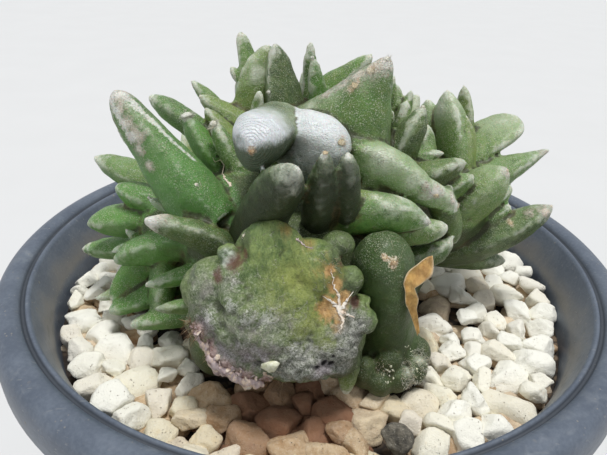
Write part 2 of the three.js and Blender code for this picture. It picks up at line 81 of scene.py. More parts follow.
def setValues(mesh, values):
    for name, numbers in values.items():
        layer = mesh.attributes.get(name) or mesh.attributes.new(name, "FLOAT", "POINT")
        layer.data.foreach_set("value", np.asarray(numbers, np.float32))


def newMesh(name, points, faces, values=None):
    mesh = bpy.data.meshes.new(name)
    mesh.from_pydata((np.asarray(points) * mm).tolist(), [], faces)
    mesh.update()
    mesh.polygons.foreach_set("use_smooth", [True] * len(mesh.polygons))
    setValues(mesh, values or {})
    return addObject(name, mesh)


def vectors(mesh, name):
    values = np.zeros(len(mesh.vertices) * 3)
    mesh.vertices.foreach_get(name, values)
    return values.reshape(-1, 3)


def points(mesh):
    return vectors(mesh, "co") / mm


def setPoints(mesh, co):
    mesh.vertices.foreach_set("co", (co * mm).ravel())
    mesh.update()


# How far each point lies below its surroundings, in tenths of a millimetre: negative on ridges and tips
def hollows(mesh, rounds=6):
    co = points(mesh)
    ends = np.zeros(2 * len(mesh.edges), np.int32)
    mesh.edges.foreach_get("vertices", ends)
    first, second = ends.reshape(-1, 2).T
    count = np.bincount(ends, minlength=len(co))[:, None]
    soft = co
    for _ in range(rounds):
        sums = np.zeros_like(co)
        for i, column in enumerate(soft.T):
            sums[:, i] = np.bincount(first, column[second], len(co))
            sums[:, i] += np.bincount(second, column[first], len(co))
        soft = (soft + sums / count) / 2
    return ((soft - co) * vectors(mesh, "normal")).sum(1) * 10


# Noise of about -1 to 1 at each point, with features of the given size
def grain(co, size, seed=0):
    shift = Vector((seed * 7.3, seed * 3.1, seed * 5.7))
    return np.array([noise.noise(Vector(p) + shift) for p in co / size])


def merge(shells):
    allPoints, allFaces, start = [], [], 0
    for pts, faces in shells:
        allPoints.append(pts)
        allFaces += [[i + start for i in face] for face in faces]
        start += len(pts)
    return np.concatenate(allPoints), allFaces


# Places on a path of points, where share 0 is its first point and 1 its second
def onPath(path, share):
    path = np.array(path, float)
    return np.stack([np.interp(share, np.arange(len(path)), column) for column in path.T], -1)


# A level circle of points
def circle(radius, z, sides):
    angles = 2 * np.pi * np.arange(sides) / sides
    return np.stack([radius * np.cos(angles), radius * np.sin(angles), np.full(sides, z)], 1)


# Rings of equal count, joined into a closed tube with a point at each end
def tube(rings, first, last):
    sides = len(rings[0])
    pts = np.concatenate([*rings, [first], [last]])
    faces = []
    for k in range(len(rings) - 1):
        for i in range(sides):
            a, b = k * sides + i, k * sides + (i + 1) % sides
            faces.append([a, b, b + sides, a + sides])
    top = (len(rings) - 1) * sides
    for i in range(sides):
        j = (i + 1) % sides
        faces.append([j, i, len(pts) - 2])
        faces.append([top + i, top + j, len(pts) - 1])
    return pts, faces


# Faces of a thin closed sheet: a grid of points, the same grid moved back, and the edge between them
def sheetFaces(rows, columns):
    faces, count = [], rows * columns
    for k in range(rows - 1):
        for i in range(columns - 1):
            a = k * columns + i
            quad = [a, a + 1, a + columns + 1, a + columns]
            faces += [quad, [count + j for j in quad[::-1]]]
    rim = list(range(columns)) + [k * columns + columns - 1 for k in range(1, rows)]
    rim += range(rows * columns - 2, (rows - 1) * columns - 1, -1)
    rim += [k * columns for k in range(rows - 2, 0, -1)]
    for a, b in zip(rim, rim[1:] + rim[:1]):
        faces.append([b, a, count + a, count + b])
    return faces


# Shader maths: a wire is a socket that expressions add nodes to
class Wire:
    def __init__(self, tree, socket=None):
        self.tree, self.socket = tree, socket

    def node(self, kind, settings=None, inputs=None, output=0):
        made = self.tree.nodes.new(kind)
        for key, value in (settings or {}).items():
            setattr(made, key, value)
        for key, value in (inputs or {}).items():
            if isinstance(value, Wire):
                self.tree.links.new(value.socket, made.inputs[key])
            else:
                made.inputs[key].default_value = value
        return Wire(self.tree, made.outputs[output])

    def math(self, operation, *values):
        return self.node("ShaderNodeMath", {"operation": operation}, dict(enumerate(values)))

    def __add__(self, other):
        return self.math("ADD", self, other)

    def __sub__(self, other):
        return self.math("SUBTRACT", self, other)

    def __rsub__(self, other):
        return self.math("SUBTRACT", other, self)

    def __mul__(self, other):
        return self.math("MULTIPLY", self, other)

    __radd__ = __add__
    __rmul__ = __mul__

    def most(self, other):
        return self.math("MAXIMUM", self, other)

    def sine(self):
        return self.math("SINE", self)

    # 0 below low, 1 above high
    def ramp(self, low, high):
        inputs = {"Value": self, "From Min": low, "From Max": high, "To Min": 0.0, "To Max": 1.0}
        return self.node("ShaderNodeMapRange", {"interpolation_type": "SMOOTHSTEP"}, inputs)

    def value(self, name):
        return self.node("ShaderNodeAttribute", {"attribute_name": name}, output="Fac")

    # Colours are three numbers or wires
    def mix(self, first, second, share):
        first, second = [(*tone, 1) if isinstance(tone, tuple) else tone for tone in (first, second)]
        return self.node("ShaderNodeMix", {"data_type": "RGBA"}, {0: share, 6: first, 7: second}, 2)

    # This colour with a share of another over it
    def over(self, tone, share):
        return self.mix(self, tone, share)

    def place(self):
        return self.node("ShaderNodeTexCoord", output="Object")

    def stretch(self, vector, factors):
        return self.node("ShaderNodeVectorMath", {"operation": "MULTIPLY"}, {0: vector, 1: factors})

    # size is the width of the features in millimetres
    def cloud(self, size, detail=3.0, rough=0.55, warp=0.0, where=None):
        settings = {"noise_dimensions": "3D"}
        inputs = {"Vector": where or self.place(), "Scale": 1 / (size * mm), "Detail": detail}
        return self.node("ShaderNodeTexNoise", settings, inputs | {"Roughness": rough, "Distortion": warp})

    def cloudColour(self, size):
        return self.node("ShaderNodeTexNoise", None, {"Vector": self.place(), "Scale": 1 / (size * mm)}, 1)

    def cells(self, size, feature="F1", output="Distance", where=None):
        inputs = {"Vector": where or self.place(), "Scale": 1 / (size * mm)}
        return self.node("ShaderNodeTexVoronoi", {"feature": feature}, inputs, output)

    def bump(self, height, depth, strength=1.0):
        inputs = {"Height": height, "Distance": depth * mm, "Strength": strength}
        return self.node("ShaderNodeBump", None, inputs)


# A material with a Principled shader; build returns what feeds its sockets
def newMaterial(name, build, **fixed):
    material = bpy.data.materials.new(name)
    material.use_nodes = True
    tree = material.node_tree
    shader = tree.nodes["Principled BSDF"]
    for key, value in fixed.items():
        shader.inputs[key.replace("_", " ")].default_value = value
    for key, wire in build(Wire(tree)).items():
        tree.links.new(wire.socket, shader.inputs[key])
    return material


def dress(piece, material, slot, *nodes):
    piece.data.materials.clear()
    piece.data.materials.append(material)
    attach(piece, "root")
    if nodes:
        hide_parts(*nodes)


# Camera: fitted to the ellipses of the rim
cameraView = {
    "target": (-2, 0, potHeight + 3.8),
    "distance": 112,
    "down": 28,
    "roll": 1.8,
    "focal": 550,  # in pixels of a picture 607 wide
    "picture": 607,
    "sensor": 36,
}


def makeCamera():
    v = cameraView
    down, roll = math.radians(v["down"]), math.radians(v["roll"])
    forward = Vector((0, math.cos(down), -math.sin(down)))
    right = Vector((1, 0, 0))
    up = right.cross(forward)
    turnedRight = math.cos(roll) * right + math.sin(roll) * up
    turnedUp = math.cos(roll) * up - math.sin(roll) * right
    place = Vector(v["target"]) * mm - forward * v["distance"] * mm
    data = bpy.data.cameras.new("camera")
    data.sensor_width = v["sensor"]
    data.lens = v["focal"] / v["picture"] * v["sensor"]
    data.clip_start = 0.004
    data.clip_end = 20
    camera = addObject("camera", data)
    columns = [turnedRight, turnedUp, -forward]
    turn = Matrix([[c[i] for c in columns] for i in range(3)]).to_4x4()
    camera.matrix_world = Matrix.Translation(place) @ turn
    bpy.context.scene.camera = camera


# Pot
potShape = {
    "sides": 144,
    "footRadius": 43,
    "neckRadius": 56.4,
    "rimDepth": 8.5,
    "grooveRadius": 54.6,
    "bedRadius": 50.6,
    "footRing": 6,
    "footLift": 2,
    "floor": 5,
    "wall": 2.6,
    "drainRadius": 7,
    "wallRows": 12,
    "bulge": 0.35,
    # Steps of the outline, each out from a radius and up from a level
    "foot": [(-0.8, 0), (-0.2, 0.25), (0, 0.8)],
    "neck": [(0, -0.7), (0.5, -0.15)],
    "underRim": [(-1.3, 0), (-0.5, 0.3), (-0.1, 1.0)],
    "rim": [
        (-0.02, -4.6), (-0.05, -3.2), (-0.25, -2.1), (-0.7, -1.2), (-1.4, -0.55), (-2.4, -0.14), (-3.4, 0),
    ],
    "groove": [
        (1.3, -0.22), (0.65, -0.5), (0.4, -1.15), (0.1, -1.4), (-0.2, -1.2), (-0.45, -0.85), (-0.9, -0.9),
        (-1.25, -1.5),
    ],
}


def makePot():
    p = potShape
    top, under = potHeight, potHeight - p["rimDepth"]
    foot, neck, groove = p["footRadius"], p["neckRadius"], p["grooveRadius"]
    inside, footInside = foot - p["wall"] - 1, foot - p["footRing"]
    profile = [(p["drainRadius"], p["footLift"]), (footInside - 1, p["footLift"])]
    profile += [(footInside - 0.5, 0.3), (footInside, 0)]
    profile += [(foot + out, up) for out, up in p["foot"]]
    for i in range(1, p["wallRows"]):
        share = i / p["wallRows"]
        bulge = p["bulge"] * math.sin(math.pi * share)
        profile.append((lerp(foot, neck, share) + bulge, lerp(0.8, under - 0.4, share)))
    edges = {"neck": (neck, under), "underRim": (rimRadius, under)}
    edges |= {"rim": (rimRadius, top), "groove": (groove, top)}
    for name, (radius, level) in edges.items():
        profile += [(radius + out, level + up) for out, up in p[name]]
    profile += [(p["bedRadius"] + 0.5, gravelTop + 0.6), (p["bedRadius"], bedTop)]
    profile += [(inside, p["floor"]), (p["drainRadius"], p["floor"])]
    sides = p["sides"]
    rows = [circle(r, z, sides) for r, z in profile]
    faces = []
    for k in range(len(rows)):
        nextRow = (k + 1) % len(rows)
        for i in range(sides):
            j = (i + 1) % sides
            faces.append([k * sides + i, k * sides + j, nextRow * sides + j, nextRow * sides + i])
    # Painted shade: the groove ring on the rim is marked to be darkened in colour
    grooveShade = [float(z > gravelTop and abs(r - groove - 0.1) < 0.4) for r, z in profile]
    dusted = [r < groove - 1 and z > bedTop for r, z in profile]
    dust = [smooth(gravelTop + 5, gravelTop, z) * on for (_, z), on in zip(profile, dusted)]
    values = {"groove": np.repeat(grooveShade, sides), "dust": np.repeat(dust, sides)}
    pot = newMesh("flowerPot", np.concatenate(rows), faces, values)
    dress(pot, newMaterial("blackPlastic", plasticLook, IOR=1.45), "pot", "pot")


def plasticLook(w):
    place = w.place()
    mottle = w.cloud(9, 5)
    fine = w.cloud(0.6, 3, 0.6)
    limeSpots = w.cells(2.6).ramp(0.16, 0.05) * w.cloud(7, 2).ramp(0.5, 0.62)
    dots = w.cells(0.9).ramp(0.2, 0.1) * w.cloud(5, 2).ramp(0.48, 0.66)
    smear = w.cloud(3, 4, 0.6, 0.6, w.stretch(place, (1, 1, 3.5))).ramp(0.5, 0.8)
    scratches = w.cloud(1.2, 2, 0.5, 0, w.stretch(place, (0.22, 1.6, 1.6))).ramp(0.66, 0.72)
    scratches = scratches * w.cloud(14, 1).ramp(0.45, 0.6)
    colour = w.mix((0.08, 0.098, 0.13), (0.126, 0.15, 0.188), (mottle * 0.6 + fine * 0.4).ramp(0.35, 0.7))
    colour = colour.over((0.24, 0.26, 0.28), smear * (0.15 + w.cloud(16, 2).ramp(0.45, 0.65) * 0.35))
    colour = colour.over((0.3, 0.27, 0.22), (limeSpots * 0.55).most(dots * 0.6))
    colour = colour.over((0.22, 0.23, 0.24), scratches * 0.5)
    colour = colour.over((0.2, 0.18, 0.15), (w.value("dust") + (mottle - 0.5) * 1.6).ramp(0.2, 1.1) * 0.6)
    # Painted shade in the rim's groove
    colour = colour.over((0.03, 0.034, 0.04), w.value("groove") * 0.75)
    rough = 0.36 + mottle * 0.14 + smear * 0.2 + limeSpots * 0.25
    height = fine * 0.35 + limeSpots * 0.6 + dots * 0.5 - scratches * 0.5
    return {"Base Color": colour, "Roughness": rough, "Normal": w.bump(height, 0.12, 0.5)}


# Potting mix, of which only the drain hole shows any
def soilLook(w):
    crumbs = w.cells(1.8)
    tone = w.cells(1.8, output="Color")
    colour = w.mix((0.05, 0.034, 0.022), (0.16, 0.115, 0.075), tone.ramp(0.2, 0.9))
    # Painted shade: near black in the gaps between the crumbs
    colour = colour.over((0.02, 0.014, 0.01), crumbs.ramp(0.35, 0.6))
    return {"Base Color": colour, "Normal": w.bump(1 - crumbs, 0.7)}


def dressSoil():
    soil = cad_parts["soil"]
    soil.data.materials.clear()
    soil.data.materials.append(newMaterial("pottingMix", soilLook, Roughness=0.95))


# Gravel: the same draws and pushes as the solids' stones, so that each stone is in its place
gravel = {
    "seed": 2024,
    "count": 225,
    "smallest": 1.8,
    "largest": 3.5,
    "rounds": 60,
    "apart": 0.12,
    "lowCount": 210,  # stones of the layer below, seen in the gaps
    "lowDrop": 2.3,
    "lowSizes": (2.2, 3.4),
    "planes": 9,
    "fill": 1.12,  # how much the stones swell to meet each other
    "axes": [(0.95, 1.2), (0.8, 1.0), (0.62, 0.85)],  # length, width and height of a stone
    "depths": (0.56, 0.95),  # how near its middle the planes cut a stone
    "hardness": 46,  # how sharp the edges between the planes are
    "bedDrop": 2.6,
    "bedRings": 10,
    "bedSides": 72,
}
darkStone = {"at": (12.4, -42.6), "radius": 2.7, "height": 3.4, "seed": 5, "planes": 8}
# Where the plant stands and no stone lies: x, y and radius
footprints = [(0, -3, 21), (-23, -8, 10), (-15, -26, 4.5), (13, -26, 5.8), (-4, -22, 7.5)]


def stonePlaces(seed, count, smallest, largest):
    draw = seeded(seed)
    limit = potShape["bedRadius"] - 0.8
    xy, radii = [], []
    for _ in range(count):
        angle = draw() * 2 * math.pi
        distance = lerp(22, limit, math.sqrt(draw()))
        radii.append(lerp(smallest, largest, draw() ** 1.3))
        xy.append((math.cos(angle) * distance, math.sin(angle) * distance))
    xy, radii = np.array(xy), np.array(radii)
    keepOut = [*footprints, (*darkStone["at"], darkStone["radius"] + 0.6)]
    for _ in range(gravel["rounds"]):
        for i in range(count):
            for j in range(i + 1, count):
                dx, dy = xy[j] - xy[i]
                want = radii[i] + radii[j] + gravel["apart"]
                if abs(dx) < want and abs(dy) < want:
                    apart = math.hypot(dx, dy) or 0.01
                    if apart < want:
                        push = 0.5 * (want - apart) / apart
                        xy[i] -= (dx * push, dy * push)
                        xy[j] += (dx * push, dy * push)
        for i in range(count):
            for x, y, radius in keepOut:
                off = xy[i] - (x, y)
                apart = math.hypot(*off) or 0.01
                want = radius + radii[i]
                if apart < want:
                    xy[i] = (x, y) + off * want / apart
            out = math.hypot(*xy[i])
            if out > limit - radii[i]:
                xy[i] *= (limit - radii[i]) / out
    return xy, radii


def roundBall(subdivisions):
    ball = bpy.data.meshes.new("ball")
    bm = bmesh.new()
    bmesh.ops.create_icosphere(bm, subdivisions=subdivisions, radius=1)
    bm.to_mesh(ball)
    bm.free()
    co, faces = vectors(ball, "co"), [list(p.vertices) for p in ball.polygons]
    bpy.data.meshes.remove(ball)
    return co, faces


# A worn, roughly broken stone: a ball cut by random planes, with soft edges
def stoneShape(random, ball, planes):
    towards = random.normal(size=(planes, 3))
    towards /= np.linalg.norm(towards, axis=1)[:, None]
    depth, hardness = random.uniform(*gravel["depths"], planes), gravel["hardness"]
    reach = depth / np.maximum(ball @ towards.T, 0.05)
    reach = np.minimum((reach**-hardness).sum(1) ** (-1 / hardness), 1.18)
    pits = grain(ball, 0.55, random.uniform(0, 90)) * 0.09 + grain(ball, 0.18, random.uniform(0, 90)) * 0.05
    return ball * (reach + pits)[:, None]


def turnedBy(random, tilt):
    spin = Matrix.Rotation(random.uniform(0, 2 * math.pi), 3, "Z")
    lean = Matrix.Rotation(random.uniform(-tilt, tilt), 3, "X")
    return np.array(lean @ spin)


def makeGravel():
    g = gravel
    random = np.random.default_rng(g["seed"])
    xy, radii = stonePlaces(g["seed"], g["count"], g["smallest"], g["largest"])
    near = xy[:, 1] < 0
    layers = [
        ("nearStones", (xy[near], radii[near]), 0.0, 0.5, 4),
        ("farStones", (xy[~near], radii[~near]), 0.0, 0.5, 3),
        ("underStones", stonePlaces(g["seed"] + 7, g["lowCount"], *g["lowSizes"]), g["lowDrop"], 0.9, 3),
    ]
    look = newMaterial("creamStone", stoneLook, Roughness=0.85)
    for name, (xy, radii), drop, tilt, detail in layers:
        ball, faces = roundBall(detail)
        shells, tone, stainAndShade = [], [], []
        for (x, y), radius in zip(xy, radii):
            sizes = radius * g["fill"] * np.array([random.uniform(*limits) for limits in g["axes"]])
            shape = stoneShape(random, ball, g["planes"]) * sizes @ turnedBy(random, tilt).T
            top = gravelTop + random.uniform(-0.5, 0.5) - drop
            shape += (x, y, top - shape[:, 2].max())
            shells.append((shape, faces))
            # Tone is random, plus painted light that makes stones lighter towards the left and right sides
            tone.append(np.full(len(ball), random.uniform() + 0.8 * smooth(14, 38, abs(x))))
            # The stain is partly real brown stain and partly painted shadow: strongest under the growth's
            # overhang, and the lower layer gets more of it as painted shade in the gaps
            stainedAndShaded = 1.5 * math.exp(-((x + 3) ** 2 / 150 + (y + 36) ** 2 / 75)) + 0.3 * random.uniform() ** 3
            stainAndShade.append(np.full(len(ball), min(1.2, stainedAndShaded * random.uniform(0.55, 1.1) + 0.18 * drop)))
        pts, allFaces = merge(shells)
        stones = newMesh(name, pts, allFaces, {"tone": np.concatenate(tone), "stainAndShade": np.concatenate(stainAndShade)})
        dress(stones, look, "gravel", "gravel")


# The dark ground that shows between the lowest stones
def makeBed():
    rings, sides, level = gravel["bedRings"], gravel["bedSides"], bedTop - gravel["bedDrop"]
    radii = [lerp(6, potShape["bedRadius"] - 0.3, k / (rings - 1)) for k in range(rings)]
    pts, faces = [circle(radius, level, sides) for radius in radii], []
    for k in range(rings - 1):
        for i in range(sides):
            a, b = k * sides + i, k * sides + (i + 1) % sides
            faces.append([a, a + sides, b + sides, b])
    bed = newMesh("gritBed", np.concatenate(pts), faces)
    dress(bed, newMaterial("darkGrit", soilLook, Roughness=0.95), "gravel")


def stoneLook(w):
    tone, stainAndShade = w.value("tone"), w.value("stainAndShade")
    patches = w.cloud(1.8, 4, 0.65)
    fine = w.cloud(0.3, 4, 0.7)
    pores = w.cells(0.5).ramp(0.24, 0.08) * w.cloud(1.4, 2).ramp(0.48, 0.62)
    # Higher tone gives paler cream, partly painted light on the side stones
    cream = w.mix((0.86, 0.79, 0.58), (0.97, 0.95, 0.85), tone.ramp(0, 1.3))
    cream = cream.over((0.72, 0.57, 0.32), (patches * 0.8 + fine * 0.3 - tone * 0.12).ramp(0.5, 0.72) * 0.65)
    # Stained stones turn tan and dark brown: partly real stain, partly painted shadow and shade
    tan = w.mix((0.42, 0.26, 0.13), (0.72, 0.56, 0.36), patches.ramp(0.3, 0.7))
    colour = w.mix(cream, tan, stainAndShade.ramp(0, 0.6))
    colour = colour.over((0.24, 0.11, 0.06), (stainAndShade + (patches - 0.5) * 0.5).ramp(0.45, 1.0) * 0.9)
    colour = colour.over((0.4, 0.28, 0.16), pores * 0.6)
    colour = colour.over((0.97, 0.95, 0.88), fine.ramp(0.52, 0.7) * 0.5 * (1 - stainAndShade))
    return {"Base Color": colour, "Normal": w.bump(fine * 0.8 + patches * 0.7 - pores, 0.3, 1.0)}


def darkStoneLook(w):
    patches, fine = w.cloud(1.2, 5, 0.65), w.cloud(0.3, 3, 0.6)
    colour = w.mix((0.06, 0.055, 0.045), (0.2, 0.18, 0.14), patches.ramp(0.35, 0.7))
    colour = colour.over((0.34, 0.32, 0.27), w.cells(0.5).ramp(0.25, 0.1) * 0.7)
    return {"Base Color": colour, "Normal": w.bump(patches + fine * 0.4, 0.35, 0.8)}


def makeDarkStone():
    d = darkStone
    random = np.random.default_rng(d["seed"])
    ball, faces = roundBall(4)
    sizes = (d["radius"] * 0.84, d["radius"] * 0.78, d["height"] * 0.58)
    shape = stoneShape(random, ball, d["planes"]) * sizes
    shape += (*d["at"], bedTop + 0.3 + d["height"] / 2)
    stone = newMesh("darkPebble", shape, faces)
    dress(stone, newMaterial("darkRock", darkStoneLook, Roughness=0.9), "dark_stone", "dark_stone")


# Plant: the same lumps and tubercles as in the solids, with finer sections
forms = {
    "horn": (1, 0.2, 0.3, 1.25, 0.14, 1.3),
    "bluntHorn": (1, 0.2, 0.42, 1.15, 0.18, 1.3),
    "leaf": (0.85, 0.35, 0.32, 1.7, 0.16, 1.3),
    "tongue": (0.8, 0.42, 0.45, 2.2, 0.24, 1.25),
    "finger": (0.95, 0.3, 0.7, 1.8, 0.32, 1),
    "dome": (0.95, 0.4, 0.85, 2, 0.6, 1),
    "column": (1, 0.3, 0.95, 2, 0.26, 1),
    "spike": (1, 0.05, 0.3, 1, 0.12, 1.2),
    "cone": (1, 0.12, 0.06, 0.95, 0.06, 1.2),
    "post": (0.84, 0.6, 0.95, 2, 0.24, 1),
    "fan": (0.75, 0.55, 0.72, 2.6, 0.16, 1.2),
}  # foot, peak, tip share, power, rounding and how sharp the sides are

lumps = {
    "heart": ((0, -1, 13), (25, 22.5, 24)),
    "leftShoulder": ((-12, -14, 16), (11.5, 12, 13.5)),
    "rightShoulder": ((4, -13, 18), (11.5, 12, 15)),
    "leftHead": ((-25, -5, 11), (9.5, 12, 11.5)),
    "rightHead": ((24, 1, 18.5), (11, 12, 10)),
    "backHead": ((4, 15, 14), (20, 12, 15)),
    "frontStem": ((-5, -22, 8), (12, 9, 12)),
    "lowLobe": ((-15.5, -28, 5), (4.6, 5, 6)),
    "lumpNeck": ((-3, -24, 19), (10, 7.5, 7.5)),
    "pillarFoot": ((12.6, -26, 3.5), (5.8, 6.4, 6)),
    "pillarBack": ((10, -20, 9), (8, 8, 10)),
}

# How fresh, olive, frosted and pale-tipped the skin of a tubercle is, and how much painted shade darkens it.
# The dark and dusk looks paint the shade on tubercles that sit in shadow
looks = {
    "fresh": (0.95, 0.2, -0.25, 0.7, 0.0),
    "green": (0.65, 0.35, 0.1, 0.8, 0.0),
    "olive": (0.5, 0.9, 0.05, 0.8, 0.0),
    "pale": (0.65, 0.55, 0.4, 1.0, 0.0),
    "light": (0.8, 0.6, 0.85, 1.0, 0.0),
    "grey": (0.1, 0.1, 1.0, 0.0, 0.0),
    "dark": (0.25, 0.4, 0.3, 0.8, 0.3),
    "dusk": (0.1, 0.15, -0.2, 0.2, 1.0),
    "post": (0.2, 0.15, -0.55, 0.0, 0.15),
    "crest": (0.35, 0.4, 0.2, 1.0, 0.0),
    "lump": (0.4, 0.5, 0.2, 0.0, 0.0),
}

